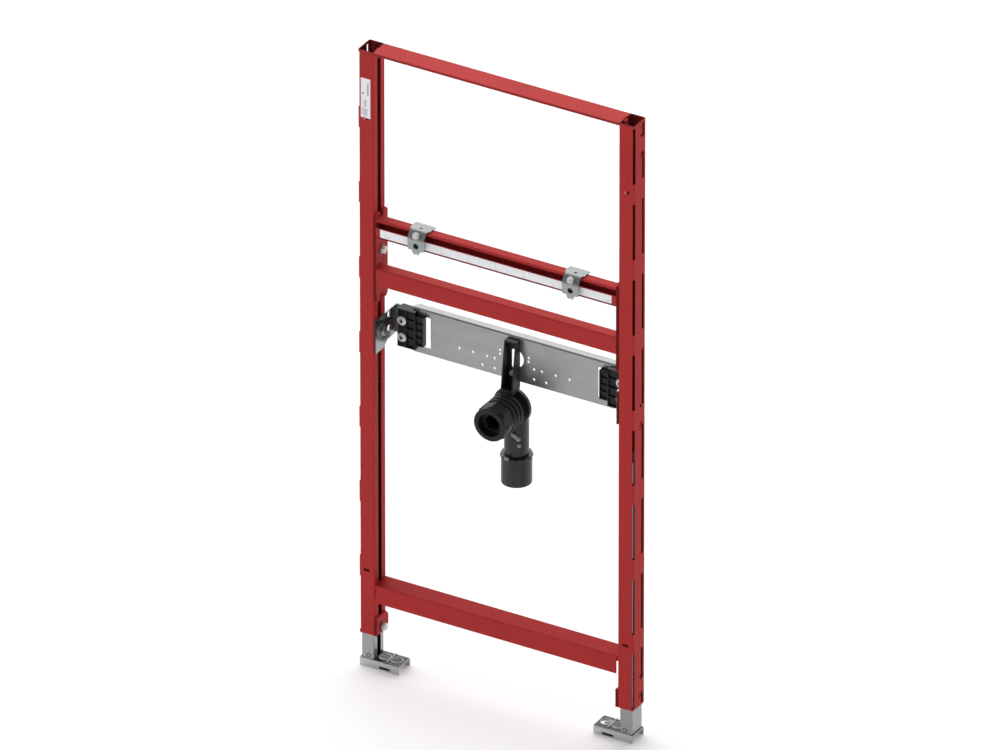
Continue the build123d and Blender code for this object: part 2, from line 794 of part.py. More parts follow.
# Lower coupling: faceted collar and plain sleeve under the elbow's pipe
with BuildPart() as outlet_coupling:
    with BuildSketch(Plane.XY.offset(coupling_top)):
        with Locations((0, outlet_axis)):
            RegularPolygon(coupling_collar_diameter / 2, coupling_collar_count, major_radius=True)
    extrude(amount=-coupling_collar_height)
    chamfer(outlet_coupling.edges().group_by(Axis.Z)[-1], length=coupling_collar_chamfer)
    with BuildSketch(Plane.XY.offset(coupling_bottom)):
        with Locations((0, outlet_axis)):
            Circle(coupling_diameter / 2)
    extrude(amount=coupling_length - coupling_collar_height)
    with BuildSketch(Plane.XY.offset(coupling_bottom)):
        with Locations((0, outlet_axis)):
            Circle(coupling_diameter / 2 - coupling_wall)
    extrude(amount=coupling_length - coupling_collar_height, mode=Mode.SUBTRACT)
    with BuildSketch(Plane.XY.offset(coupling_bottom)):
        with Locations((0, outlet_axis)):
            Circle(bore_diameter / 2)
    extrude(amount=coupling_length, mode=Mode.SUBTRACT)
outlet_coupling.part.label = "outlet_coupling"
export_step(outlet_coupling.part, "parts/outlet_coupling.step")
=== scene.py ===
"""Dresses the washbasin installation frame: coats, fasteners, scale print, pressed marks and studio."""
import math

import bpy
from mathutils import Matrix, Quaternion, Vector


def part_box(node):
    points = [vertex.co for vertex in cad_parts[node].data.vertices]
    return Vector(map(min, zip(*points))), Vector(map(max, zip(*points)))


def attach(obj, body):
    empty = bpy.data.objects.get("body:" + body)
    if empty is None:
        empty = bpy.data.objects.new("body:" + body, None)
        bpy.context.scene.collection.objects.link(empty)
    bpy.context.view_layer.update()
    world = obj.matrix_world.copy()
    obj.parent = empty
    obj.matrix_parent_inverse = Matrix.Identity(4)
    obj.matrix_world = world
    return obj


bl_info = {
    "name": "Basin Installation Frame",
    "version": (1, 0, 0),
    "blender": (4, 5, 0),
    "location": "View3D > Sidebar > Basin Frame",
    "description": "Finishes, fasteners, scale print and studio for a washbasin installation frame",
    "category": "Object",
}

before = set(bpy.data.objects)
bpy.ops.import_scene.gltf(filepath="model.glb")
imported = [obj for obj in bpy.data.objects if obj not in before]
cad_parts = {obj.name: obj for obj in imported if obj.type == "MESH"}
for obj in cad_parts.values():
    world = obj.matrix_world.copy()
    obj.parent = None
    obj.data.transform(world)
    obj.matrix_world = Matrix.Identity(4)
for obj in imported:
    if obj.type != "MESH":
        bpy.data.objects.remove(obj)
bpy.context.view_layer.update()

MM = 0.001
TOLERANCE = 0.01 * MM
SMOOTH_ANGLE = math.radians(35)
SIDES = (("left", -1), ("right", 1))
UP = Vector((0, 0, 1))
FRONT = Vector((0, -1, 0))
RIGHT = Vector((1, 0, 0))

UPRIGHTS = ("left_upright", "right_upright")
COATED_PLATES = ("left_end_plate", "right_end_plate", "left_foot_clamp_plate", "right_foot_clamp_plate")
FOOT_TUBES = ("left_foot_tube", "right_foot_tube")
FOOT_BASES = ("left_foot_base", "right_foot_base")
CLAMPS = ("left_basin_clamp", "right_basin_clamp")
BRACKETS = ("left_plate_bracket", "right_plate_bracket")
DAMPERS = ("left_damper_block", "right_damper_block")
RUBBER = ("outlet_sleeve", "outlet_nipple")
PLASTIC = ("outlet_elbow", "outlet_coupling")


# Settings that a user would change


def length(name, description, millimetres):
    """A length property in metres whose default is given in millimetres."""
    return bpy.props.FloatProperty(
        name=name, description=description, default=millimetres * MM, min=0.0, unit="LENGTH", precision=5
    )


def tint(name, description, colour):
    """A colour property, in linear light."""
    return bpy.props.FloatVectorProperty(
        name=name, description=description, default=colour, size=3, min=0.0, max=1.0, subtype="COLOR"
    )


def angle(name, description, degrees):
    """An angle property whose default is given in degrees."""
    return bpy.props.FloatProperty(
        name=name, description=description, default=math.radians(degrees), subtype="ANGLE"
    )


def amount(name, description, value, unit="NONE"):
    """An amount that isn't negative, plain or in a unit."""
    return bpy.props.FloatProperty(name=name, description=description, default=value, min=0.0, unit=unit)


class BasinFrameFinishes(bpy.types.PropertyGroup):
    """Colours of the frame's coats and bare materials."""

    coat: tint("Powder coat", "Red of the frame's powder coat", (0.47, 0.041, 0.040))
    coat_deep: tint("Deep coat", "Red where the coat lies thicker", (0.44, 0.036, 0.036))
    # Painted light: a lighter copy of the coat for the top rail, standing in for the stronger light that
    # falls on it.
    coat_painted_lit: tint("Bright coat", "Red of the top rail's coat", (0.55, 0.054, 0.053))
    # Painted shade: darker red for the lower rail's upper side.
    coat_shade: tint("Shaded coat", "Red on the lower rail's upper side", (0.345, 0.013, 0.014))
    # Painted highlight: pale red on the raised pressed lips.
    coat_lip_highlight: tint("Coat lip", "Pale red on the small pressed lips", (0.68, 0.17, 0.17))
    # Partly wear, partly painted highlight: paler red along bent and cut edges.
    coat_edge: tint("Coat edge", "Paler red along bent and cut edges", (0.55, 0.085, 0.080))
    zinc: tint("Zinc", "Bare zinc on plates and feet", (0.345, 0.36, 0.352))
    zinc_dull: tint("Dull zinc", "Zinc where it has dulled", (0.29, 0.305, 0.298))
    # Painted light: a lighter copy of the zinc for the feet's bases; its dull tone varies at random.
    lit_foot_zinc: tint("Foot zinc", "Zinc on the feet's bases", (0.55, 0.565, 0.555))
    lit_foot_zinc_dull: tint("Dull foot zinc", "Zinc on the bases where it has dulled", (0.47, 0.485, 0.475))
    # Partly wear, partly painted highlight: lighter zinc along bent and cut edges.
    zinc_edge: tint("Zinc edge", "Zinc along bent and cut edges", (0.42, 0.43, 0.425))
    # Painted shade: darker zinc for the foot tubes' part inside the uprights.
    zinc_tube_shade: tint("Shaded zinc", "Zinc that has dulled to a dark grey", (0.15, 0.155, 0.15))
    # Painted shade: dark grey zinc for the feet's flat tops, the tap plate's flange and the basin clamps'
    # upper parts.
    zinc_dark_shade: tint("Dark zinc", "Zinc on the flat tops of the feet", (0.040, 0.042, 0.041))
    bright_zinc: tint("Bright zinc", "Plated bolts and screws", (0.80, 0.81, 0.81))
    plastic: tint("Plastic", "Moulded black plastic", (0.011, 0.011, 0.012))
    plastic_worn: tint("Rubbed plastic", "Plastic along rubbed edges", (0.036, 0.037, 0.039))
    rubber: tint("Rubber", "Soft black rubber", (0.008, 0.008, 0.009))
    rubber_bloom: tint("Rubber bloom", "Grey bloom on the rubber", (0.022, 0.022, 0.024))
    hollow: tint("Hollow", "Shade in a small opening", (0.030, 0.004, 0.004))
    film: tint("Film", "White film of the scale", (0.96, 0.975, 0.99))
    label: tint("Label", "Pale film of the sticker", (0.95, 0.93, 0.98))
    ink: tint("Ink", "Grey print on the film", (0.16, 0.19, 0.20))
    pale_ink: tint("Pale ink", "Light print on the film", (0.46, 0.50, 0.53))
    knob: tint("Knob", "Grey plastic knob", (0.21, 0.21, 0.215))


class BasinFrameFasteners(bpy.types.PropertyGroup):
    """Sizes and places of bolts, screws, washers and small fittings."""

    bolt_across: length("Bolt head", "Hexagon bolt head across its corners", 14.0)
    bolt_height: length("Bolt height", "Height of a hexagon bolt head", 6.4)
    # The slide bolts' washers are dark as painted shade round the bolt heads.
    bolt_washer: length("Bolt washer", "Diameter of the dark washer under a slide bolt", 16.5)
    bracket_bolt_across: length("Bracket bolt", "Bracket bolt head across its corners", 14.0)
    bracket_washer: length("Bracket washer", "Diameter of the bracket bolt's washer", 23.0)
    clamp_bolt_across: length("Basin clamp bolt", "Basin clamp's bolt head across its corners", 12.0)
    clamp_bolt_height: length("Basin clamp bolt height", "Height of the basin clamp's bolt head", 6.0)
    clamp_bolt_above: length("Clamp plate bolt", "Foot bolt, above the clamp plate's lower end", 10.0)
    end_bolt_above: length("End plate bolt", "Traverse bolt, above the end plate's lower end", 91.0)
    bracket_bolt_above: length("Bracket bolt height", "Bracket bolt, above the bracket's lower end", 34.0)
    bracket_thickness: length("Bracket sheet", "Thickness of the plate brackets", 3.0)
    screw_diameter: length("Damper screw", "Diameter of a damper screw's head", 15.4)
    screw_socket: length("Screw socket", "Socket of a damper screw across its corners", 7.6)
    screw_from_side: length("Screw from side", "Damper screws, from the block's outer side", 8.3)
    screw_from_top: length("Screw from top", "Upper damper screw, from the block's top", 20.7)
    screw_from_bottom: length("Screw from bottom", "Lower damper screw, from the block's bottom", 17.3)
    thread_diameter: length("Thread", "Diameter of the basin clamps' threaded hole", 10.0)
    thread_length: length("Thread length", "Length of the basin clamps' thread", 7.6)
    locator_from_front: length("Locator hole", "Basin clamps' locator hole, behind the front plane", 8.5)
    thread_below_rail: length("Thread height", "Thread's distance below the scale rail's top", 22.0)
    # Painted shade: a dark bar behind each foot's slot stands in for the shade inside the foot.
    slot_shade_length: length("Foot insert", "Length of the rubber insert behind a foot's slot", 24.0)
    slot_shade_height: length("Insert height", "Height of the rubber insert", 7.0)
    slot_shade_from_end: length("Insert from end", "Insert's middle, from the foot's inner end", 26.0)
    slot_shade_above_floor: length("Insert above floor", "Insert's middle, above the floor", 4.5)
    foot_sheet: length("Foot sheet", "Thickness of the foot's sheet", 2.0)
    anchor_hole: length("Anchor hole", "Diameter of the foot's anchor hole", 18.0)
    anchor_from_end: length("Anchor from end", "Anchor hole's middle, from the foot's inner end", 13.5)
    key_hole: length("Key hole", "Diameter of the foot's key hole", 20.0)
    key_from_end: length("Key hole from end", "Key hole's middle, from the foot's inner end", 36.0)
    rim_width: length("Rim width", "Width of the raised rims round the foot's holes", 0.9)
    rim_height: length("Rim height", "Height of the raised rims", 0.7)
    knob_diameter: length("Knob", "Diameter of the arm's knob", 8.5)
    knob_length: length("Knob length", "Length of the arm's knob", 6.0)


class BasinFrameStage(bpy.types.PropertyGroup):
    """Camera, lights and floor."""

    azimuth: angle("Azimuth", "Camera's turn to the right of the front", 30)
    elevation: angle("Elevation", "Camera's height above the horizon", 30)
    distance: amount("Distance", "Camera's distance from the frame", 48.18, "LENGTH")
    target_height: amount("Target height", "Height of the point that the camera looks at", 0.595, "LENGTH")
    target_forward: amount("Target forward", "That point's place before the middle", 0.0222, "LENGTH")
    lens: amount("Lens", "Focal length, long for a view with little perspective", 1102.0)
    sky: amount("Sky", "Strength of the even studio light", 0.50)
    far_wall: amount("Far wall", "Strength of the wide soft light behind the frame", 2.4)
    far_wall_turn: angle("Far wall's turn", "The wide light's turn to the left of the back", 38)
    right_share: amount("Right share", "Share of the light that is left at the right", 0.42)
    floor_glow: amount("Floor glow", "Light of the floor itself, which softens its shadows", 0.10)


# Shader nodes


def connect(tree, value, socket):
    """Links a socket to another, or sets its own value."""
    if isinstance(value, bpy.types.NodeSocket):
        tree.links.new(value, socket)
    else:
        socket.default_value = value


def add_node(tree, kind, values=None, **settings):
    """A node with its settings, and its input values or links by name."""
    node = tree.nodes.new(kind)
    for key, setting in settings.items():
        setattr(node, key, setting)
    for key, value in (values or {}).items():
        connect(tree, value, node.inputs[key])
    return node


def calculate(tree, operation, first, second=0.0):
    """Result of a Math node."""
    node = add_node(tree, "ShaderNodeMath", operation=operation)
    connect(tree, first, node.inputs[0])
    connect(tree, second, node.inputs[1])
    return node.outputs[0]


def spread(tree, value, low, high, start=0.0, end=1.0, curve="LINEAR"):
    """Maps a value from start and end to low and high."""
    node = add_node(tree, "ShaderNodeMapRange", interpolation_type=curve)
    for name, number in (("From Min", start), ("From Max", end), ("To Min", low), ("To Max", high)):
        node.inputs[name].default_value = number
    connect(tree, value, node.inputs["Value"])
    return node.outputs["Result"]


def mix_colours(tree, mask, first, second):
    """First colour where the mask is 0, second where it is 1."""
    node = add_node(tree, "ShaderNodeMix", data_type="RGBA")
    connect(tree, mask, node.inputs[0])
    for colour, socket in ((first, node.inputs[6]), (second, node.inputs[7])):
        connect(tree, colour if isinstance(colour, bpy.types.NodeSocket) else (*colour, 1.0), socket)
    return node.outputs[2]


def object_place(tree, scale=(1.0, 1.0, 1.0)):
    """Object coordinates, stretched by scale."""
    place = add_node(tree, "ShaderNodeTexCoord")
    mapping = add_node(tree, "ShaderNodeMapping", {"Vector": place.outputs["Object"], "Scale": scale})
    return mapping.outputs["Vector"]


def effect_group(name, inputs, outputs):
    """An empty shader group with named inputs and outputs."""
    group = bpy.data.node_groups.new(name, "ShaderNodeTree")
    for label, value in inputs:
        socket = group.interface.new_socket(name=label, in_out="INPUT", socket_type="NodeSocketFloat")
        socket.default_value = value
    for label, kind in outputs:
        group.interface.new_socket(name=label, in_out="OUTPUT", socket_type=kind)
    return group, group.nodes.new("NodeGroupInput"), group.nodes.new("NodeGroupOutput")


def build_peel_group():
    """Orange peel and slow clouds of a sprayed or moulded skin."""
    group, given, result = effect_group(
        "skin_peel",
        (("Peel Scale", 700.0), ("Cloud Scale", 9.0)),
        (("Peel", "NodeSocketFloat"), ("Cloud", "NodeSocketFloat")),
    )
    place = object_place(group)
    peel = add_node(group, "ShaderNodeTexNoise", {"Vector": place, "Scale": given.outputs[0], "Detail": 2.0})
    cloud = add_node(
        group,
        "ShaderNodeTexNoise",
        {"Vector": place, "Scale": given.outputs[1], "Detail": 4.0, "Roughness": 0.6},
    )
    connect(group, peel.outputs[0], result.inputs["Peel"])
    connect(group, spread(group, cloud.outputs[0], 0.0, 1.0, 0.3, 0.7), result.inputs["Cloud"])
    return group


def build_edge_group():
    """Mask of worn edges that also carry a painted highlight, broken up by noise, and the normal of softly
    rounded edges.
    """
    group, given, result = effect_group(
        "edge_wear_and_highlight",
        (("Width", 0.8 * MM), ("Break Scale", 160.0)),
        (("Wear And Highlight", "NodeSocketFloat"), ("Rounded", "NodeSocketVector")),
    )
    rounded = add_node(group, "ShaderNodeBevel", {"Radius": given.outputs["Width"]}, samples=8)
    flat = add_node(group, "ShaderNodeNewGeometry")
    match = add_node(group, "ShaderNodeVectorMath", operation="DOT_PRODUCT")
    connect(group, rounded.outputs[0], match.inputs[0])
    connect(group, flat.outputs["Normal"], match.inputs[1])
    edge = spread(group, match.outputs["Value"], 0.6, 0.0, 0.80, 0.98)
    noise = add_node(
        group,
        "ShaderNodeTexNoise",
        {"Vector": object_place(group), "Scale": given.outputs["Break Scale"], "Detail": 3.0},
    )
    broken = spread(group, noise.outputs[0], 0.35, 1.0, 0.4, 0.65)
    connect(group, calculate(group, "MULTIPLY", edge, broken), result.inputs["Wear And Highlight"])
    connect(group, rounded.outputs[0], result.inputs["Rounded"])
    return group


def build_zinc_group():
    """Spangles and rolling streaks of zinc on sheet steel."""
    group, given, result = effect_group(
        "zinc_skin",
        (("Spangle Scale", 150.0), ("Streak Scale", 5.0)),
        (("Spangle", "NodeSocketFloat"), ("Streak", "NodeSocketFloat"), ("Scratch", "NodeSocketFloat")),
    )
    place = object_place(group)
    size = given.outputs["Spangle Scale"]
    cells = add_node(group, "ShaderNodeTexVoronoi", {"Vector": place, "Scale": size})
    tone = add_node(group, "ShaderNodeSeparateColor")
    connect(group, cells.outputs["Color"], tone.inputs[0])
    streak = add_node(
        group,
        "ShaderNodeTexNoise",
        {
            "Vector": object_place(group, (1.0, 40.0, 40.0)),
            "Scale": given.outputs["Streak Scale"],
            "Detail": 5.0,
        },
    )
    scratch = add_node(
        group,
        "ShaderNodeTexNoise",
        {"Vector": object_place(group, (12.0, 900.0, 900.0)), "Scale": 1.0, "Detail": 3.0},
    )
    connect(group, tone.outputs[0], result.inputs["Spangle"])
    connect(group, spread(group, streak.outputs[0], 0.0, 1.0, 0.3, 0.7), result.inputs["Streak"])
    connect(group, scratch.outputs[0], result.inputs["Scratch"])
    return group


def new_finish(name, **constants):
    """A material with its node tree and shader; constants go to the shader's own sockets."""
    finish = bpy.data.materials.new(name)
    finish.use_nodes = True
    shader = finish.node_tree.nodes["Principled BSDF"]
    for label, value in constants.items():
        shader.inputs[label.replace("_", " ").title().replace("Ior", "IOR")].default_value = value
    return finish, finish.node_tree, shader


def place_group(tree, name, **values):
    """A shared effect placed in a material with its own values."""
    node = add_node(tree, "ShaderNodeGroup", node_tree=bpy.data.node_groups[name])
    for label, value in values.items():
        node.inputs[label.replace("_", " ").title()].default_value = value
    return node


def add_relief(tree, shader, height, strength, depth, rounded=None):
    """Bump from a height, on top of softly rounded edges."""
    bump = add_node(tree, "ShaderNodeBump", {"Strength": strength, "Distance": depth, "Height": height})
    if rounded:
        connect(tree, rounded, bump.inputs["Normal"])
    connect(tree, bump.outputs["Normal"], shader.inputs["Normal"])


def object_axes(tree):
    """Object coordinates as three values."""
    place = add_node(tree, "ShaderNodeTexCoord")
    axes = add_node(tree, "ShaderNodeSeparateXYZ", {"Vector": place.outputs["Object"]})
    return axes.outputs["X"], axes.outputs["Y"], axes.outputs["Z"]


def inside(tree, value, low, high):
    """Mask that is 1 where a value lies between low and high."""
    above = calculate(tree, "GREATER_THAN", value, low)
    return calculate(tree, "MULTIPLY", above, calculate(tree, "LESS_THAN", value, high))


def upright_shade_mask(tree):
    """Mask of painted shade on the inside of the uprights, and on their cut upper ends."""
    low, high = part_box("right_upright")
    across, back, up = object_axes(tree)
    skin = 1.2 * MM
    between = inside(tree, calculate(tree, "ABSOLUTE", across), low[0] + skin, high[0] - skin)
    deep = calculate(tree, "MULTIPLY", between, inside(tree, back, low[1] + skin, high[1] - skin))
    inside_shade = calculate(tree, "MULTIPLY", deep, spread(tree, back, 0.95, 0.62, low[1], high[1]))
    end = calculate(tree, "MULTIPLY", calculate(tree, "GREATER_THAN", up, high[2] - 0.3 * MM), 0.45)
    return calculate(tree, "MAXIMUM", inside_shade, end)


def front_edge_shade_mask(share):
    """Maker of a mask of painted shade along front cut edges, as strong as the share."""
    def mask(tree):
        edge = calculate(tree, "LESS_THAN", object_axes(tree)[1], front_plane() + 0.6 * MM)
        return calculate(tree, "MULTIPLY", edge, share)
    return mask


def upper_shade_mask(node, below, share):
    """Maker of a mask of painted shade on a node's uppermost millimetres, as strong as the share."""
    def mask(tree):
        upper = calculate(tree, "GREATER_THAN", object_axes(tree)[2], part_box(node)[1][2] - below * MM)
        return calculate(tree, "MULTIPLY", upper, share)
    return mask


def lip_shade_mask(tree):
    """Mask of painted shade on the scale rail's lower front bend."""
    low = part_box("scale_rail")[0]
    across, back, up = object_axes(tree)
    lowest = calculate(tree, "LESS_THAN", up, low[2] + 3.2 * MM)
    front = calculate(tree, "LESS_THAN", back, low[1] + 2.4 * MM)
    return calculate(tree, "MULTIPLY", calculate(tree, "MULTIPLY", lowest, front), 0.9)


def lower_rail_shade_mask(tree):
    """Mask of painted shade on the lower rail's upper side, strongest in the corners at the uprights."""
    low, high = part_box("lower_rail")
    across, back, up = object_axes(tree)
    upper = calculate(tree, "GREATER_THAN", up, high[2] - 0.15 * MM)
    corner = spread(tree, calculate(tree, "ABSOLUTE", across), 0.9, 1.4, high[0] - 20.0 * MM, high[0])
    return calculate(tree, "MULTIPLY", upper, corner)


def web_shade_mask(tree):
    """Mask of painted shade on the flat tops of the feet, weaker on the bead across them."""
    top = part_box("right_foot_tube")[0][2]
    up = object_axes(tree)[2]
    upper = calculate(tree, "GREATER_THAN", up, top - 0.3 * MM)
    return calculate(tree, "MULTIPLY", upper, spread(tree, up, 1.0, 0.72, top + 0.1 * MM, top + 1.2 * MM))


def tube_shade_mask(tree):
    """Mask of painted shade on the foot tubes' part inside the uprights."""
    post_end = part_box("right_upright")[0][2]
    inner = calculate(tree, "GREATER_THAN", object_axes(tree)[2], post_end + 1.0 * MM)
    return calculate(tree, "MULTIPLY", inner, 0.65)


def front_plane():
    """Y of the uprights' front faces."""
    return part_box("right_upright")[0][1]


def build_coat(name, looks, shade=None, shaded=None, tones=None):
    """Satin red powder coat, paler on its edges from wear and painted highlight, with painted shade, dark or
    in the given shaded red, where the shade's mask says.
    """
    finish, tree, shader = new_finish(name, specular_ior_level=0.035)
    peel = place_group(tree, "skin_peel", peel_scale=750.0, cloud_scale=7.0)
    edge = place_group(tree, "edge_wear_and_highlight", width=0.7 * MM, break_scale=120.0)
    deep, clean = tones or (looks.coat_deep, looks.coat)
    base = mix_colours(tree, peel.outputs["Cloud"], deep, clean)
    base = mix_colours(tree, edge.outputs["Wear And Highlight"], base, looks.coat_edge)
    if shade:
        base = mix_colours(tree, shade(tree), base, shaded or looks.hollow)
    connect(tree, base, shader.inputs["Base Color"])
    connect(tree, spread(tree, peel.outputs["Cloud"], 0.40, 0.50), shader.inputs["Roughness"])
    add_relief(tree, shader, peel.outputs["Peel"], 0.08, 0.12 * MM, edge.outputs["Rounded"])
    return finish


def build_zinc(name, looks, smooth, rough, spangle, contrast, shade=None, shaded=None, tones=None):
    """Zinc on sheet steel, from smooth to rough, lighter on its edges from wear and painted highlight, with
    painted shade where the shade's mask says.
    """
    finish, tree, shader = new_finish(name, metallic=1.0)
    skin = place_group(tree, "zinc_skin", spangle_scale=spangle, streak_scale=5.0)
    edge = place_group(tree, "edge_wear_and_highlight", width=0.5 * MM, break_scale=200.0)
    tone = calculate(tree, "MULTIPLY", skin.outputs["Spangle"], 0.35)
    tone = calculate(tree, "ADD", tone, calculate(tree, "MULTIPLY", skin.outputs["Streak"], 0.65))
    patchy = spread(tree, tone, 0.5 - contrast / 2, 0.5 + contrast / 2)
    dull, clean = tones or (looks.zinc_dull, looks.zinc)
    base = mix_colours(tree, patchy, dull, clean)
    base = mix_colours(tree, edge.outputs["Wear And Highlight"], base, looks.zinc_edge)
    if shade:
        base = mix_colours(tree, shade(tree), base, shaded)
    connect(tree, base, shader.inputs["Base Color"])
    connect(tree, spread(tree, patchy, rough, smooth), shader.inputs["Roughness"])
    add_relief(tree, shader, skin.outputs["Scratch"], 0.06, 0.04 * MM)
    return finish


def build_plated(name, base, edge_colour, looks, metallic):
    """Zinc plating of bolts and screws, brighter on its edges from wear and painted highlight."""
    finish, tree, shader = new_finish(name, metallic=metallic)
    peel = place_group(tree, "skin_peel", peel_scale=1400.0, cloud_scale=90.0)
    edge = place_group(tree, "edge_wear_and_highlight", width=0.3 * MM, break_scale=300.0)
    cloudy = mix_colours(tree, spread(tree, peel.outputs["Cloud"], 0.0, 0.35), base, looks.zinc)
    wear = calculate(tree, "MULTIPLY", edge.outputs["Wear And Highlight"], 0.5)
    connect(tree, mix_colours(tree, wear, cloudy, edge_colour), shader.inputs["Base Color"])
    connect(tree, spread(tree, peel.outputs["Cloud"], 0.32, 0.44), shader.inputs["Roughness"])
    add_relief(tree, shader, peel.outputs["Peel"], 0.05, 0.05 * MM)
    return finish


def build_moulded(name, base, rubbed, smooth, rough, grain, shine=0.36):
    """Moulded plastic or rubber with a fine grain, greyer where it is rubbed."""
    finish, tree, shader = new_finish(name, specular_ior_level=shine)
    peel = place_group(tree, "skin_peel", peel_scale=grain, cloud_scale=38.0)
    edge = place_group(tree, "edge_wear_and_highlight", width=0.7 * MM, break_scale=260.0)
    cloudy = mix_colours(tree, spread(tree, peel.outputs["Cloud"], 0.0, 0.25), base, rubbed)
    connect(tree, mix_colours(tree, edge.outputs["Wear And Highlight"], cloudy, rubbed), shader.inputs["Base Color"])
    connect(tree, spread(tree, peel.outputs["Cloud"], smooth, rough), shader.inputs["Roughness"])
    add_relief(tree, shader, peel.outputs["Peel"], 0.12, 0.10 * MM, edge.outputs["Rounded"])
    return finish


def tick_marks(tree, across, up, pitch, width, from_height):
    """Mask of upright lines every pitch, above from_height."""
    step = calculate(tree, "FRACT", calculate(tree, "ADD", calculate(tree, "DIVIDE", across, pitch), 0.5))
    away = calculate(tree, "ABSOLUTE", calculate(tree, "SUBTRACT", step, 0.5))
    line = calculate(tree, "LESS_THAN", away, width / pitch / 2)
    return calculate(tree, "MULTIPLY", line, calculate(tree, "GREATER_THAN", up, from_height))


def build_tape(looks):
    """White film with printed graduations every 5, 10 and 50 millimetres."""
    finish, tree, shader = new_finish("scale_film", specular_ior_level=0.3)
    low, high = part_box("scale_tape")
    across, back, up = object_axes(tree)
    print_mask = None
    for pitch, width, rise in ((5.0, 0.3, 3.0), (10.0, 0.35, 4.6), (50.0, 0.35, 14.0)):
        marks = tick_marks(tree, across, up, pitch * MM, width * MM, high[2] - rise * MM)
        print_mask = marks if print_mask is None else calculate(tree, "MAXIMUM", print_mask, marks)
    peel = place_group(tree, "skin_peel", peel_scale=500.0, cloud_scale=60.0)
    white = mix_colours(tree, spread(tree, peel.outputs["Cloud"], 0.0, 0.06), looks.film, looks.pale_ink)
    connect(tree, mix_colours(tree, print_mask, white, looks.pale_ink), shader.inputs["Base Color"])
    connect(tree, spread(tree, peel.outputs["Cloud"], 0.30, 0.42), shader.inputs["Roughness"])
    add_relief(tree, shader, peel.outputs["Peel"], 0.04, 0.05 * MM)
    return finish


def patch(tree, across, up, left, right, bottom, top):
    """Mask of an upright rectangle, in shares of the sticker's width and height."""
    return calculate(tree, "MULTIPLY", inside(tree, across, left, right), inside(tree, up, bottom, top))


def build_label(looks):
    """Pale film with bars, dashes and blocks in the place of small print."""
    finish, tree, shader = new_finish("label_film", specular_ior_level=0.3)
    place = add_node(tree, "ShaderNodeUVMap")
    axes = add_node(tree, "ShaderNodeSeparateXYZ", {"Vector": place.outputs[0]})
    across, up = axes.outputs["X"], axes.outputs["Y"]
    dashes = inside(tree, calculate(tree, "FRACT", calculate(tree, "MULTIPLY", up, 31.0)), 0.0, 0.72)
    line = calculate(tree, "MULTIPLY", dashes, patch(tree, across, up, 0.68, 0.82, 0.57, 0.89))
    mark = patch(tree, across, up, 0.14, 0.30, 0.59, 0.64)
    dark = calculate(tree, "MAXIMUM", line, mark)
    rules = inside(tree, calculate(tree, "FRACT", calculate(tree, "MULTIPLY", up, 43.0)), 0.0, 0.6)
    block = calculate(tree, "MAXIMUM", patch(tree, across, up, 0.30, 0.60, 0.27, 0.45),
                      patch(tree, across, up, 0.14, 0.70, 0.06, 0.24))
    pale = calculate(tree, "MULTIPLY", block, spread(tree, rules, 0.35, 0.85))
    peel = place_group(tree, "skin_peel", peel_scale=600.0, cloud_scale=40.0)
    sheet = mix_colours(tree, spread(tree, peel.outputs["Cloud"], 0.0, 0.25), looks.label, looks.film)
    printed = mix_colours(tree, pale, sheet, looks.pale_ink)
    connect(tree, mix_colours(tree, dark, printed, looks.ink), shader.inputs["Base Color"])
    connect(tree, spread(tree, peel.outputs["Cloud"], 0.38, 0.50), shader.inputs["Roughness"])
    add_relief(tree, shader, peel.outputs["Peel"], 0.05, 0.05 * MM)
    return finish


# Modelling helpers


def deselect_all():
    """Leaves edit mode and clears the selection."""
    if bpy.context.object and bpy.context.object.mode != "OBJECT":
        bpy.ops.object.mode_set(mode="OBJECT")
    bpy.ops.object.select_all(action="DESELECT")


def activate(piece):
    """Makes a piece the only selected object and the active one."""
    deselect_all()
    piece.select_set(True)
    bpy.context.view_layer.objects.active = piece


def pick_faces(piece, wanted):
    """Enters edit mode with only those faces selected that pass the test."""
    activate(piece)
    bpy.context.tool_settings.mesh_select_mode = (False, False, True)
    mesh = piece.data
    for part in (*mesh.vertices, *mesh.edges, *mesh.polygons):
        part.select = False
    for face in mesh.polygons:
        face.select = wanted(face)
    bpy.ops.object.mode_set(mode="EDIT")


def blank(radius, height, sides):
    """A round or many-sided blank that stands on Z = 0."""
    deselect_all()
    bpy.ops.mesh.primitive_cylinder_add(
        vertices=sides, radius=radius, depth=height, location=(0, 0, height / 2)
    )
    bpy.ops.object.transform_apply(location=True, rotation=True, scale=True)
    return bpy.context.object


def shape_top(piece, steps):
    """Insets the top face inward, and raises it, once for each (inward, upward) step in millimetres."""
    top = max(vertex.co.z for vertex in piece.data.vertices)
    pick_faces(piece, lambda face: face.normal.z > 0.9 and abs(face.center.z - top) < TOLERANCE)
    for inward, upward in steps:
        if inward:
            bpy.ops.mesh.inset(thickness=inward * MM, depth=upward * MM)
        else:
            bpy.ops.mesh.extrude_region_move(TRANSFORM_OT_translate={"value": (0, 0, upward * MM)})
    bpy.ops.object.mode_set(mode="OBJECT")


def apply_bevel(piece, width, segments=2):
    """Rounds the piece's sharp edges."""
    activate(piece)
    bevel = piece.modifiers.new("edge_round", "BEVEL")
    bevel.width = width
    bevel.segments = segments
    bevel.limit_method = "ANGLE"
    bevel.angle_limit = SMOOTH_ANGLE
    bpy.ops.object.modifier_apply(modifier=bevel.name)


def cut_recess(piece, radius, depth, sides):
    """Cuts a many-sided driver recess into the top of the piece."""
    top = max(vertex.co.z for vertex in piece.data.vertices)
    cutter = blank(radius, 2 * depth, sides)
    cutter.location.z = top - depth
    activate(piece)
    cut = piece.modifiers.new("recess", "BOOLEAN")
    cut.operation = "DIFFERENCE"
    cut.object = cutter
    bpy.ops.object.modifier_apply(modifier=cut.name)
    bpy.data.objects.remove(cutter, do_unlink=True)


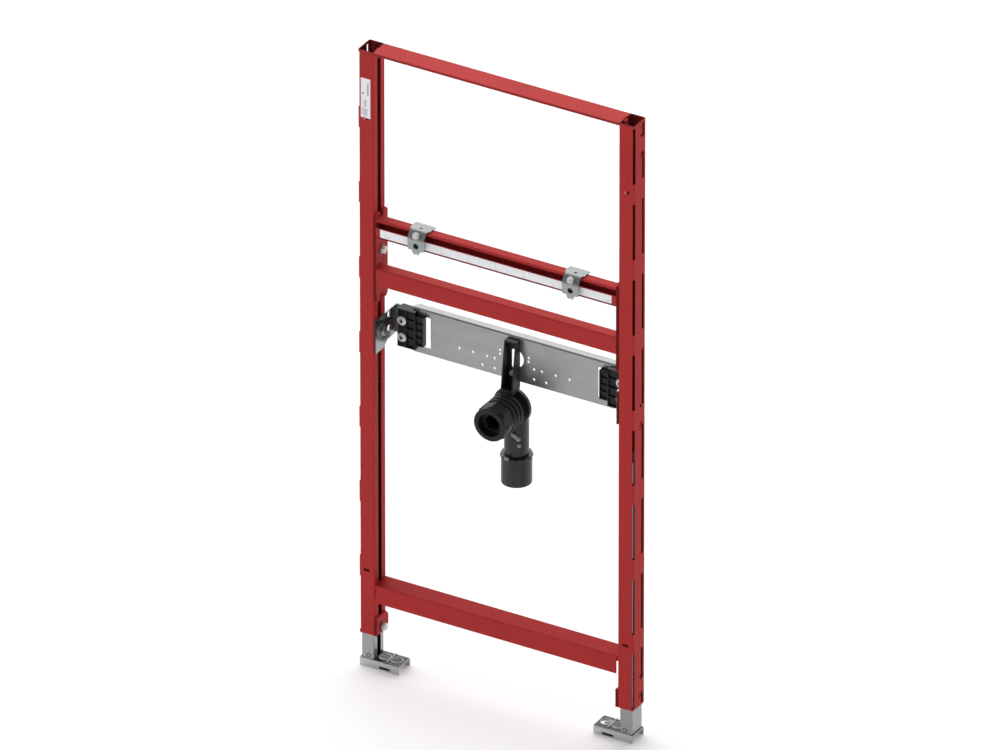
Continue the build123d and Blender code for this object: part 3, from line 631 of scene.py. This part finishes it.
def join(*parts):
    """Joins parts into the first one."""
    activate(parts[0])
    for part in parts[1:]:
        part.select_set(True)
    bpy.ops.object.join()
    return parts[0]


def seat(master, name, point, direction, body, finish, roll=0.0):
    """A copy of the master that stands on a point along a direction, turned about it by roll."""
    activate(master)
    bpy.ops.object.duplicate(linked=False)
    piece = bpy.context.object
    piece.rotation_mode = "QUATERNION"
    piece.rotation_quaternion = Vector(direction).to_track_quat("Z", "Y") @ Quaternion(UP, roll)
    piece.location = point
    finish_piece(piece, name, body, finish)
    return piece


def finish_piece(piece, name, body, finish):
    """Applies the piece's place, names it, and gives it its material and body."""
    activate(piece)
    bpy.ops.object.transform_apply(location=True, rotation=True, scale=True)
    bpy.ops.object.shade_smooth_by_angle(angle=SMOOTH_ANGLE)
    piece.name = name
    piece.data.name = name
    piece.data.materials.clear()
    piece.data.materials.append(bpy.data.materials[finish])
    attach(piece, body)


def discard(piece):
    """Removes a master once its copies are seated."""
    bpy.data.objects.remove(piece, do_unlink=True)


def middle(node, axis):
    """Middle of a CAD node along an axis, 0 to 2."""
    low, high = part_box(node)
    return (low[axis] + high[axis]) / 2


def inner_face(node, side):
    """X of the face of a CAD node that looks to the middle of the frame."""
    low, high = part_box(node)
    return low[0] if side > 0 else high[0]


# Pieces


def make_hex_head(across, tall):
    """Hexagon bolt head with a chamfered, slightly domed top."""
    head = blank(across / 2, tall - 1.4 * MM, 6)
    shape_top(head, ((0.6, 0.7), (1.6, 0.5), (1.6, 0.2)))
    apply_bevel(head, 0.3 * MM)
    return head


def make_washer(diameter, thick):
    """Flat washer with rounded rims and a sunk middle."""
    washer = blank(diameter / 2, thick - 0.3 * MM, 48)
    shape_top(washer, ((0.4, 0.3), (2.4, 0.0), (0.3, -0.3)))
    return washer


def make_bar(long, wide, thick):
    """Bar with round ends that stands on Z = 0 and runs along X."""
    deselect_all()
    bpy.ops.mesh.primitive_cube_add(size=1.0, location=(0, 0, thick / 2), scale=(long, wide, thick))
    bar = bpy.context.object
    bpy.ops.object.transform_apply(location=True, rotation=True, scale=True)
    activate(bar)
    bpy.ops.object.mode_set(mode="EDIT")
    bpy.ops.mesh.select_all(action="DESELECT")
    bpy.ops.object.mode_set(mode="OBJECT")
    for edge in bar.data.edges:
        ends = [bar.data.vertices[i].co for i in edge.vertices]
        edge.select = abs(ends[0].z - ends[1].z) > thick / 2
    bpy.context.tool_settings.mesh_select_mode = (False, True, False)
    bpy.ops.object.mode_set(mode="EDIT")
    bpy.ops.mesh.bevel(offset=0.48 * wide, segments=6)
    bpy.ops.object.mode_set(mode="OBJECT")
    apply_bevel(bar, 0.18 * thick, 3)
    return bar


class BASINFRAME_OT_finishes(bpy.types.Operator):
    """Builds the materials and gives each CAD node its own."""

    bl_idname = "basinframe.finishes"
    bl_label = "Coats and bare materials"

    def execute(self, context):
        looks = context.scene.basin_frame_finishes
        for build in (build_peel_group, build_edge_group, build_zinc_group):
            build()
        build_plated("bright_plating", looks.bright_zinc, looks.film, looks, 0.2)
        build_plated("dull_plating", looks.zinc, looks.bright_zinc, looks, 1.0)
        build_label(looks)
        # Painted shade: a dark finish for thread linings, screw sockets, rosette grooves and the slide bolts'
        # washers.
        build_moulded("painted_shade_dark", looks.plastic_worn, looks.ink, 0.30, 0.42, 1600.0)
        build_moulded("grey_knob", looks.knob, looks.pale_ink, 0.35, 0.45, 1500.0)
        build_moulded("print_ink", looks.pale_ink, looks.film, 0.45, 0.55, 1500.0)
        # Painted shade: dark red for small openings and pressed marks.
        build_moulded("small_hollow_shade", looks.hollow, looks.coat_deep, 0.60, 0.75, 900.0, 0.03)
        # Painted highlight on the upper pressed lips.
        build_moulded("pressed_lip_highlight", looks.coat_lip_highlight, looks.coat_edge, 0.40, 0.50, 900.0, 0.2)
        finishes = (
            (("middle_rail",), build_coat("red_powder_coat", looks)),
            # Lower rail: painted shade on its upper side.
            (("lower_rail",), build_coat("lower_rail_coat", looks, lower_rail_shade_mask, looks.coat_shade)),
            # Top rail: a painted-lit, lighter copy of the coat, and painted shade along its front edge.
            (("top_rail",), build_coat("top_rail_coat", looks, front_edge_shade_mask(0.35), looks.hollow,
                                      (looks.coat, looks.coat_painted_lit))),
            # Scale rail: painted shade on its lower front bend.
            (("scale_rail",), build_coat("scale_rail_coat", looks, lip_shade_mask)),
            # Uprights: painted shade inside the profile and on the cut upper ends.
            (UPRIGHTS, build_coat("upright_coat", looks, upright_shade_mask)),
            # End plates and foot clamp plates: painted shade along their front cut edges.
            (COATED_PLATES, build_coat("plate_coat", looks, front_edge_shade_mask(0.7))),
            # Foot tubes: painted shade where they sit inside the uprights.
            (FOOT_TUBES, build_zinc("galvanised_feet", looks, 0.26, 0.38, 190.0, 0.8,
                                    tube_shade_mask, looks.zinc_tube_shade)),
            # Foot bases: a lighter, painted-lit copy of the zinc, with painted shade on their flat tops.
            (FOOT_BASES, build_zinc("galvanised_bases", looks, 0.28, 0.40, 190.0, 0.8,
                                    web_shade_mask, looks.zinc_dark_shade, (looks.lit_foot_zinc_dull, looks.lit_foot_zinc))),
            # Tap plate: painted shade on its top flange.
            (("tap_plate",), build_zinc("rolled_zinc_sheet", looks, 0.32, 0.42, 110.0, 0.7,
                                       upper_shade_mask("tap_plate", 2.2, 0.22), looks.zinc_dark_shade)),
            # Brackets: painted shade along their front cut edges.
            (BRACKETS, build_zinc("smooth_zinc", looks, 0.24, 0.32, 160.0, 0.6,
                                  front_edge_shade_mask(0.9), looks.hollow)),
            # Basin clamps: painted shade on their upper 14 mm.
            (CLAMPS, build_zinc("plated_clamp", looks, 0.32, 0.42, 210.0, 0.8,
                                upper_shade_mask("left_basin_clamp", 14.0, 0.38), looks.zinc_dark_shade)),
            (PLASTIC, build_moulded("black_plastic", looks.plastic, looks.plastic_worn, 0.26, 0.36, 1300.0)),
            (("outlet_arm",), build_moulded("arm_plastic", looks.plastic, looks.plastic_worn,
                                            0.40, 0.52, 1300.0, 0.22)),
            (RUBBER, build_moulded("black_rubber", looks.rubber, looks.rubber_bloom,
                                   0.46, 0.60, 1000.0, 0.26)),
            (DAMPERS, build_moulded("damper_rubber", looks.rubber, looks.rubber_bloom,
                                    0.24, 0.34, 900.0, 0.20)),
            (("scale_tape",), build_tape(looks)),
        )
        for nodes, finish in finishes:
            for node in nodes:
                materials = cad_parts[node].data.materials
                materials.clear()
                materials.append(finish)
        return {"FINISHED"}


class BASINFRAME_OT_slide_bolts(bpy.types.Operator):
    """Adds the bolts and washers that hold the traverses and the feet on the uprights."""

    bl_idname = "basinframe.slide_bolts"
    bl_label = "Slide bolts"

    def execute(self, context):
        sizes = context.scene.basin_frame_fasteners
        bolt = make_hex_head(sizes.bolt_across, sizes.bolt_height)
        bracket_bolt = make_hex_head(sizes.bracket_bolt_across, sizes.bolt_height)
        thick = 1.2 * MM
        washer = make_washer(sizes.bolt_washer, thick)
        bracket_washer = make_washer(sizes.bracket_washer, thick)
        rows = (
            # The traverse and foot bolts' washers take the dark finish, as painted shade round the heads.
            ("end_plate", sizes.end_bolt_above, "basin_traverse", bolt, washer,
             "bright_plating", "painted_shade_dark"),
            ("foot_clamp_plate", sizes.clamp_bolt_above, "frame", bolt, washer,
             "bright_plating", "painted_shade_dark"),
            ("plate_bracket", sizes.bracket_bolt_above, "tap_traverse", bracket_bolt, bracket_washer,
             "dull_plating", "dull_plating"),
        )
        for side, sign in SIDES:
            inward = Vector((-sign, 0, 0))
            for plate, above, body, head, ring, head_finish, ring_finish in rows:
                node = f"{side}_{plate}"
                low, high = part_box(node)
                cheek = inner_face(node, sign)
                if plate == "plate_bracket":
                    cheek = (high[0] if sign > 0 else low[0]) - sign * sizes.bracket_thickness
                point = Vector((cheek, middle(f"{side}_upright", 1), low[2] + above))
                seat(ring, f"{node}_washer", point, inward, body, ring_finish)
                point += inward * thick
                seat(head, f"{node}_bolt", point, inward, body, head_finish)
        for master in (bolt, bracket_bolt, washer, bracket_washer):
            discard(master)
        return {"FINISHED"}


class BASINFRAME_OT_clamp_bolts(bpy.types.Operator):
    """Adds the bolts on the basin clamps' slanted steps, with dark thread linings in their fronts and black
    discs on their locator holes as painted shade.
    """

    bl_idname = "basinframe.clamp_bolts"
    bl_label = "Basin clamp bolts"

    def execute(self, context):
        sizes = context.scene.basin_frame_fasteners
        bolt = make_hex_head(sizes.clamp_bolt_across, sizes.clamp_bolt_height)
        # A dark lining in the threaded hole stands in for its shade (painted shade).
        thread = blank(sizes.thread_diameter / 2 - 0.03 * MM, sizes.thread_length, 40)
        cut_recess(thread, sizes.thread_diameter / 2 - 0.8 * MM, 1.1 * sizes.thread_length, 40)
        apply_bevel(thread, 0.15 * MM)
        # A black disc over the locator hole stands in for its shade (painted shade).
        pin = blank(2.2 * MM, 0.5 * MM, 28)
        shape_top(pin, ((0.3, 0.2), (0.5, -0.3)))
        rail_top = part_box("scale_rail")[1][2]
        step_behind_front, step_below_top = 2.8 * MM, 7.1 * MM
        outward = Vector((0, -0.805, 0.593)).normalized()
        for side, sign in SIDES:
            node = f"{side}_basin_clamp"
            low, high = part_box(node)
            step = Vector((middle(node, 0), low[1] + step_behind_front, high[2] - step_below_top))
            seat(bolt, f"{node}_bolt", step, outward, f"{side}_clamp", "bright_plating",
                 math.radians(12))
            thread_height = rail_top - sizes.thread_below_rail
            hole_end = Vector((middle(node, 0), low[1] + sizes.thread_length, thread_height))
            seat(thread, f"{node}_thread", hole_end, FRONT, f"{side}_clamp", "painted_shade_dark")
            locator = Vector((middle(node, 0), front_plane() + sizes.locator_from_front, high[2] - 1.4 * MM))
            seat(pin, f"{node}_locator", locator, UP, f"{side}_clamp", "black_plastic")
        for master in (bolt, thread, pin):
            discard(master)
        return {"FINISHED"}


class BASINFRAME_OT_damper_screws(bpy.types.Operator):
    """Adds the two screws in each damper block."""

    bl_idname = "basinframe.damper_screws"
    bl_label = "Damper screws"

    def execute(self, context):
        sizes = context.scene.basin_frame_fasteners
        head = blank(sizes.screw_diameter / 2, 0.9 * MM, 48)
        shape_top(head, ((0.4, 0.3), (1.5, 0.4), (0.9, 1.2), (0.6, 0.3)))
        cut_recess(head, sizes.screw_socket / 2, 2.2 * MM, 6)
        # A dark plug in each socket stands in for its shade (painted shade).
        plug = blank(sizes.screw_socket / 2, 1.5 * MM, 6)
        shape_top(plug, ((0.5, -0.3), (1.0, 0.0), (0.6, 0.3)))
        for side, sign in SIDES:
            node = f"{side}_damper_block"
            low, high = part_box(node)
            outer = low[0] if sign < 0 else high[0]
            across = outer - sign * sizes.screw_from_side
            heights = (("upper", high[2] - sizes.screw_from_top), ("lower", low[2] + sizes.screw_from_bottom))
            for place, up in heights:
                point = Vector((across, low[1], up))
                seat(head, f"{node}_{place}_screw", point, FRONT, "tap_traverse",
                     "bright_plating")
                seat(plug, f"{node}_{place}_socket", point, FRONT, "tap_traverse",
                     "painted_shade_dark")
        discard(head)
        discard(plug)
        return {"FINISHED"}


class BASINFRAME_OT_arm_fittings(bpy.types.Operator):
    """Adds the dark screw and the grey knob in the outlet arm's pocket."""

    bl_idname = "basinframe.arm_fittings"
    bl_label = "Outlet arm fittings"

    def execute(self, context):
        sizes = context.scene.basin_frame_fasteners
        low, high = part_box("outlet_arm")
        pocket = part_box("tap_plate")[0][1] - 2.5 * MM
        screw = blank(5.0 * MM, 1.2 * MM, 36)
        shape_top(screw, ((0.5, 0.4), (1.0, 0.9), (1.0, 0.3)))
        cut_recess(screw, 2.1 * MM, 1.2 * MM, 6)
        seat(screw, "outlet_arm_screw", Vector((0, pocket, high[2] - 12.0 * MM)), FRONT, "tap_traverse",
             "black_plastic")
        discard(screw)
        knob = blank(sizes.knob_diameter / 2, sizes.knob_length, 36)
        shape_top(knob, ((0.4, 0.5), (0.6, 0.3), (1.2, 0.0), (0.3, -0.5)))
        seat(knob, "outlet_arm_knob", Vector((0, pocket, high[2] - 59.0 * MM)), FRONT, "tap_traverse",
             "grey_knob")
        discard(knob)
        return {"FINISHED"}


class BASINFRAME_OT_outlet_mouldings(bpy.types.Operator):
    """Adds the slanted tab and the stud on the elbow's pipe, and the lug on the coupling's collar, in grey
    that is partly painted highlight on the black mouldings.
    """

    bl_idname = "basinframe.outlet_mouldings"
    bl_label = "Outlet mouldings"

    def execute(self, context):
        axis = Vector((middle("outlet_coupling", 0), middle("outlet_coupling", 1), 0))
        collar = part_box("outlet_coupling")[1][2]
        tab = make_bar(19.0 * MM, 6.0 * MM, 5.5 * MM)
        stud = blank(3.2 * MM, 4.0 * MM, 32)
        shape_top(stud, ((0.4, 0.5), (0.7, 0.4), (0.7, 0.1)))
        lug = make_bar(9.0 * MM, 5.0 * MM, 4.0 * MM)
        rows = (
            ("outlet_elbow_tab", tab, 26.0, 18.2, 40.0, -44.0),
            ("outlet_elbow_stud", stud, 40.0, 18.6, 24.0, 0.0),
            ("outlet_coupling_lug", lug, -8.0, 23.4, -0.6, 0.0),
        )
        for name, master, turn, radius, above, roll in rows:
            bearing = math.radians(turn)
            outward = Vector((math.sin(bearing), -math.cos(bearing), 0))
            point = axis + outward * radius * MM + UP * (collar + above * MM)
            seat(master, name, point, outward, "tap_traverse", "grey_knob",
                 math.radians(roll))
            discard(master)
        return {"FINISHED"}


class BASINFRAME_OT_scale_print(bpy.types.Operator):
    """Adds the plain numbers on the scale tape, counted out from its middle."""

    bl_idname = "basinframe.scale_print"
    bl_label = "Scale numbers"

    def execute(self, context):
        low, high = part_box("scale_tape")
        pitch, numeral = 50.0 * MM, 5.5 * MM
        rows = []
        for tens in range(-4, 5):
            deselect_all()
            bpy.ops.object.text_add()
            text = bpy.context.object
            text.data.body = str(abs(tens) * 5)
            text.data.size = numeral
            text.data.align_x = "LEFT"
            text.data.extrude = 0.05 * MM
            bpy.ops.object.convert(target="MESH")
            number = bpy.context.object
            number.rotation_euler = (math.radians(90), 0, 0)
            number.location = (tens * pitch + 1.2 * MM, low[1] - 0.02 * MM, low[2] + 1.6 * MM)
            bpy.ops.object.transform_apply(location=True, rotation=True, scale=True)
            rows.append(number)
        numbers = join(*rows)
        finish_piece(numbers, "scale_numbers", "basin_traverse", "print_ink")
        return {"FINISHED"}


class BASINFRAME_OT_sticker(bpy.types.Operator):
    """Adds the plain sticker near the top of the left upright."""

    bl_idname = "basinframe.sticker"
    bl_label = "Sticker"

    def execute(self, context):
        low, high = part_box("left_upright")
        width, tall, thick = 17.3 * MM, 71.0 * MM, 0.25 * MM
        from_side, below_top = 14.2 * MM, 84.5 * MM
        deselect_all()
        bpy.ops.mesh.primitive_plane_add(size=1.0, calc_uvs=True)
        sheet = bpy.context.object
        sheet.scale = (width, tall, 1.0)
        bpy.ops.object.transform_apply(location=True, rotation=True, scale=True)
        pick_faces(sheet, lambda face: True)
        bpy.ops.mesh.subdivide(number_cuts=6)
        bpy.ops.mesh.extrude_region_move(TRANSFORM_OT_translate={"value": (0, 0, thick)})
        bpy.ops.mesh.select_all(action="SELECT")
        bpy.ops.mesh.normals_make_consistent(inside=False)
        bpy.ops.object.mode_set(mode="OBJECT")
        sheet.rotation_euler = (math.radians(90), 0, 0)
        sheet.location = (low[0] + from_side, low[1] + 0.02 * MM, high[2] - below_top)
        finish_piece(sheet, "upright_sticker", "frame", "label_film")
        return {"FINISHED"}


class BASINFRAME_OT_pressed_marks(bpy.types.Operator):
    """Adds the pressed marks on the uprights and the clinch rosettes on the foot tubes."""

    bl_idname = "basinframe.pressed_marks"
    bl_label = "Pressed marks"

    def execute(self, context):
        lip = blank(2.6 * MM, 0.3 * MM, 32)
        shape_top(lip, ((0.5, 0.6), (0.6, 0.4), (0.6, 0.15)))
        # Thin dark patches stand in for the shade in the marks' openings and in the dimple (painted shade).
        gap = blank(2.7 * MM, 0.12 * MM, 32)
        shape_top(gap, ((0.3, 0.05), (0.6, -0.05)))
        rosette = blank(6.4 * MM, 0.12 * MM, 40)
        shape_top(rosette, ((0.8, 0.26), (0.8, 0.0), (0.6, -0.35), (1.5, 0.0), (0.6, 0.24), (0.7, 0.06)))
        # Painted shade: a dark ring in each rosette's groove.
        groove = blank(4.1 * MM, 0.06 * MM, 40)
        shape_top(groove, ((0.1, 0.04),))
        # Upper marks: a lip with painted highlight beside painted shade; lower marks are painted shade all
        # over.
        marks = (("upper", 121.0, "pressed_lip_highlight"), ("lower", 943.0, "small_hollow_shade"))
        clinches = ((rosette, "rosette", "galvanised_feet"), (groove, "groove", "painted_shade_dark"))
        for side, sign in SIDES:
            low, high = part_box(f"{side}_upright")
            for place, below, lip_finish in marks:
                point = Vector((middle(f"{side}_upright", 0), low[1], high[2] - below * MM))
                seat(lip, f"{side}_upright_{place}_lip", point - RIGHT * 2.4 * MM, FRONT, "frame",
                     lip_finish)
                seat(gap, f"{side}_upright_{place}_gap", point + RIGHT * 2.6 * MM, FRONT, "frame",
                     "small_hollow_shade")
            outer = high[0] if sign > 0 else low[0]
            # Painted shade: a thin dark patch for the dimple.
            dimple = Vector((outer, low[1] + 16.5 * MM, high[2] - 530.0 * MM))
            seat(gap, f"{side}_upright_dimple", dimple - RIGHT * sign * 0.16 * MM, RIGHT * sign, "frame",
                 "small_hollow_shade")
            tube_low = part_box(f"{side}_foot_tube")[0]
            base_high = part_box(f"{side}_foot_base")[1]
            across = middle(f"{side}_foot_tube", 0) - sign * 2.0 * MM
            point = Vector((across, tube_low[1], base_high[2] + 3.0 * MM))
            for master, name, finish in clinches:
                seat(master, f"{side}_foot_{name}", point, FRONT, f"{side}_foot", finish)
        for master in (lip, gap, rosette, groove):
            discard(master)
        return {"FINISHED"}


class BASINFRAME_OT_foot_slot_shades(bpy.types.Operator):
    """Adds dark bars, in the damper rubber finish, behind the slots in the feet as painted shade, and the
    raised rims round their holes.
    """

    bl_idname = "basinframe.foot_inserts"
    bl_label = "Foot slot shades and rims"

    def execute(self, context):
        sizes = context.scene.basin_frame_fasteners
        thick = 1.6 * MM
        insert = make_bar(sizes.slot_shade_length, sizes.slot_shade_height, thick)
        rims = []
        holes = (
            ("anchor", sizes.anchor_hole, sizes.anchor_from_end),
            ("key", sizes.key_hole, sizes.key_from_end),
        )
        for place, diameter, from_end in holes:
            rim = blank(diameter / 2 + sizes.rim_width, sizes.rim_height, 48)
            cut_recess(rim, diameter / 2, 1.2 * sizes.rim_height, 48)
            apply_bevel(rim, 0.2 * MM)
            rims.append((place, rim, from_end))
        for side, sign in SIDES:
            node = f"{side}_foot_base"
            low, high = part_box(node)
            web_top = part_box(f"{side}_foot_tube")[0][2]
            for place, rim, from_end in rims:
                across = inner_face(node, sign) + sign * from_end
                point = Vector((across, middle(f"{side}_upright", 1), web_top))
                seat(rim, f"{side}_foot_{place}_rim", point, UP, f"{side}_foot",
                     "galvanised_feet")
            # A dark bar behind the slot, as painted shade.
            across = inner_face(node, sign) + sign * sizes.slot_shade_from_end
            point = Vector((across, low[1] + sizes.foot_sheet + thick + 0.05 * MM, sizes.slot_shade_above_floor))
            seat(insert, f"{side}_foot_slot_shade", point, FRONT, f"{side}_foot", "damper_rubber")
        for master in (insert, *(rim for place, rim, from_end in rims)):
            discard(master)
        return {"FINISHED"}


def glow_toward(tree, direction, start, end, low, high):
    """Strength that grows from low to high as the view turns toward a direction."""
    place = add_node(tree, "ShaderNodeTexCoord")
    match = add_node(tree, "ShaderNodeVectorMath", operation="DOT_PRODUCT")
    connect(tree, place.outputs["Generated"], match.inputs[0])
    match.inputs[1].default_value = direction
    return spread(tree, match.outputs["Value"], low, high, start, end, "SMOOTHSTEP")


def build_sky(world, studio):
    """Even studio light that grows into a wide, soft bright wall behind the frame and fades to the right."""
    world.use_nodes = True
    tree = world.node_tree
    turn = studio.far_wall_turn
    wall = glow_toward(tree, (-math.sin(turn), math.cos(turn), 0.0), 0.0, 0.6, studio.sky, studio.far_wall)
    fade = glow_toward(tree, tuple(RIGHT), 0.1, 0.9, 1.0, studio.right_share)
    background = tree.nodes["Background"]
    background.inputs["Color"].default_value = (1.0, 1.0, 1.0, 1.0)
    connect(tree, calculate(tree, "MULTIPLY", wall, fade), background.inputs["Strength"])


class BASINFRAME_OT_stage(bpy.types.Operator):
    """Sets the pale floor, the soft studio light and the camera at the photograph's angle."""

    bl_idname = "basinframe.stage"
    bl_label = "Studio"

    def execute(self, context):
        scene = context.scene
        studio = scene.basin_frame_stage
        deselect_all()
        bpy.ops.mesh.primitive_plane_add(size=60.0)
        floor = bpy.context.object
        floor.name = "studio_floor"
        pale, tree, shader = new_finish("studio_floor", roughness=0.9, specular_ior_level=0.1)
        shader.inputs["Base Color"].default_value = (0.97, 0.97, 0.97, 1.0)
        shader.inputs["Emission Color"].default_value = (1.0, 1.0, 1.0, 1.0)
        shader.inputs["Emission Strength"].default_value = studio.floor_glow
        floor.data.materials.append(pale)
        scene.world = scene.world or bpy.data.worlds.new("studio_sky")
        build_sky(scene.world, studio)
        target = Vector((0.0, -studio.target_forward, studio.target_height))
        flat = math.cos(studio.elevation)
        sideways, forward = math.sin(studio.azimuth) * flat, -math.cos(studio.azimuth) * flat
        toward = Vector((sideways, forward, math.sin(studio.elevation)))
        bpy.ops.object.camera_add(location=target + toward * studio.distance)
        camera = bpy.context.object
        camera.name = "photo_camera"
        camera.rotation_euler = (-toward).to_track_quat("-Z", "Y").to_euler()
        camera.data.lens = studio.lens
        camera.data.sensor_width = 36.0
        camera.data.clip_end = 2 * studio.distance
        scene.camera = camera
        scene.view_settings.view_transform = "Standard"
        return {"FINISHED"}


OPERATORS = (
    BASINFRAME_OT_finishes,
    BASINFRAME_OT_slide_bolts,
    BASINFRAME_OT_clamp_bolts,
    BASINFRAME_OT_damper_screws,
    BASINFRAME_OT_arm_fittings,
    BASINFRAME_OT_outlet_mouldings,
    BASINFRAME_OT_scale_print,
    BASINFRAME_OT_sticker,
    BASINFRAME_OT_pressed_marks,
    BASINFRAME_OT_foot_slot_shades,
    BASINFRAME_OT_stage,
)


class BASINFRAME_PT_pieces(bpy.types.Panel):
    """Lists the steps that dress the frame."""

    bl_idname = "BASINFRAME_PT_pieces"
    bl_label = "Basin Frame"
    bl_space_type = "VIEW_3D"
    bl_region_type = "UI"
    bl_category = "Basin Frame"

    def draw(self, context):
        for step in OPERATORS:
            self.layout.operator(step.bl_idname)


CLASSES = (BasinFrameFinishes, BasinFrameFasteners, BasinFrameStage, *OPERATORS, BASINFRAME_PT_pieces)


def register():
    for item in CLASSES:
        bpy.utils.register_class(item)
    bpy.types.Scene.basin_frame_finishes = bpy.props.PointerProperty(type=BasinFrameFinishes)
    bpy.types.Scene.basin_frame_fasteners = bpy.props.PointerProperty(type=BasinFrameFasteners)
    bpy.types.Scene.basin_frame_stage = bpy.props.PointerProperty(type=BasinFrameStage)


def unregister():
    del bpy.types.Scene.basin_frame_stage
    del bpy.types.Scene.basin_frame_fasteners
    del bpy.types.Scene.basin_frame_finishes
    for item in reversed(CLASSES):
        bpy.utils.unregister_class(item)


def main():
    register()
    for step in OPERATORS:
        group, name = step.bl_idname.split(".")
        getattr(getattr(bpy.ops, group), name)()


if __name__ == "__main__":
    main()
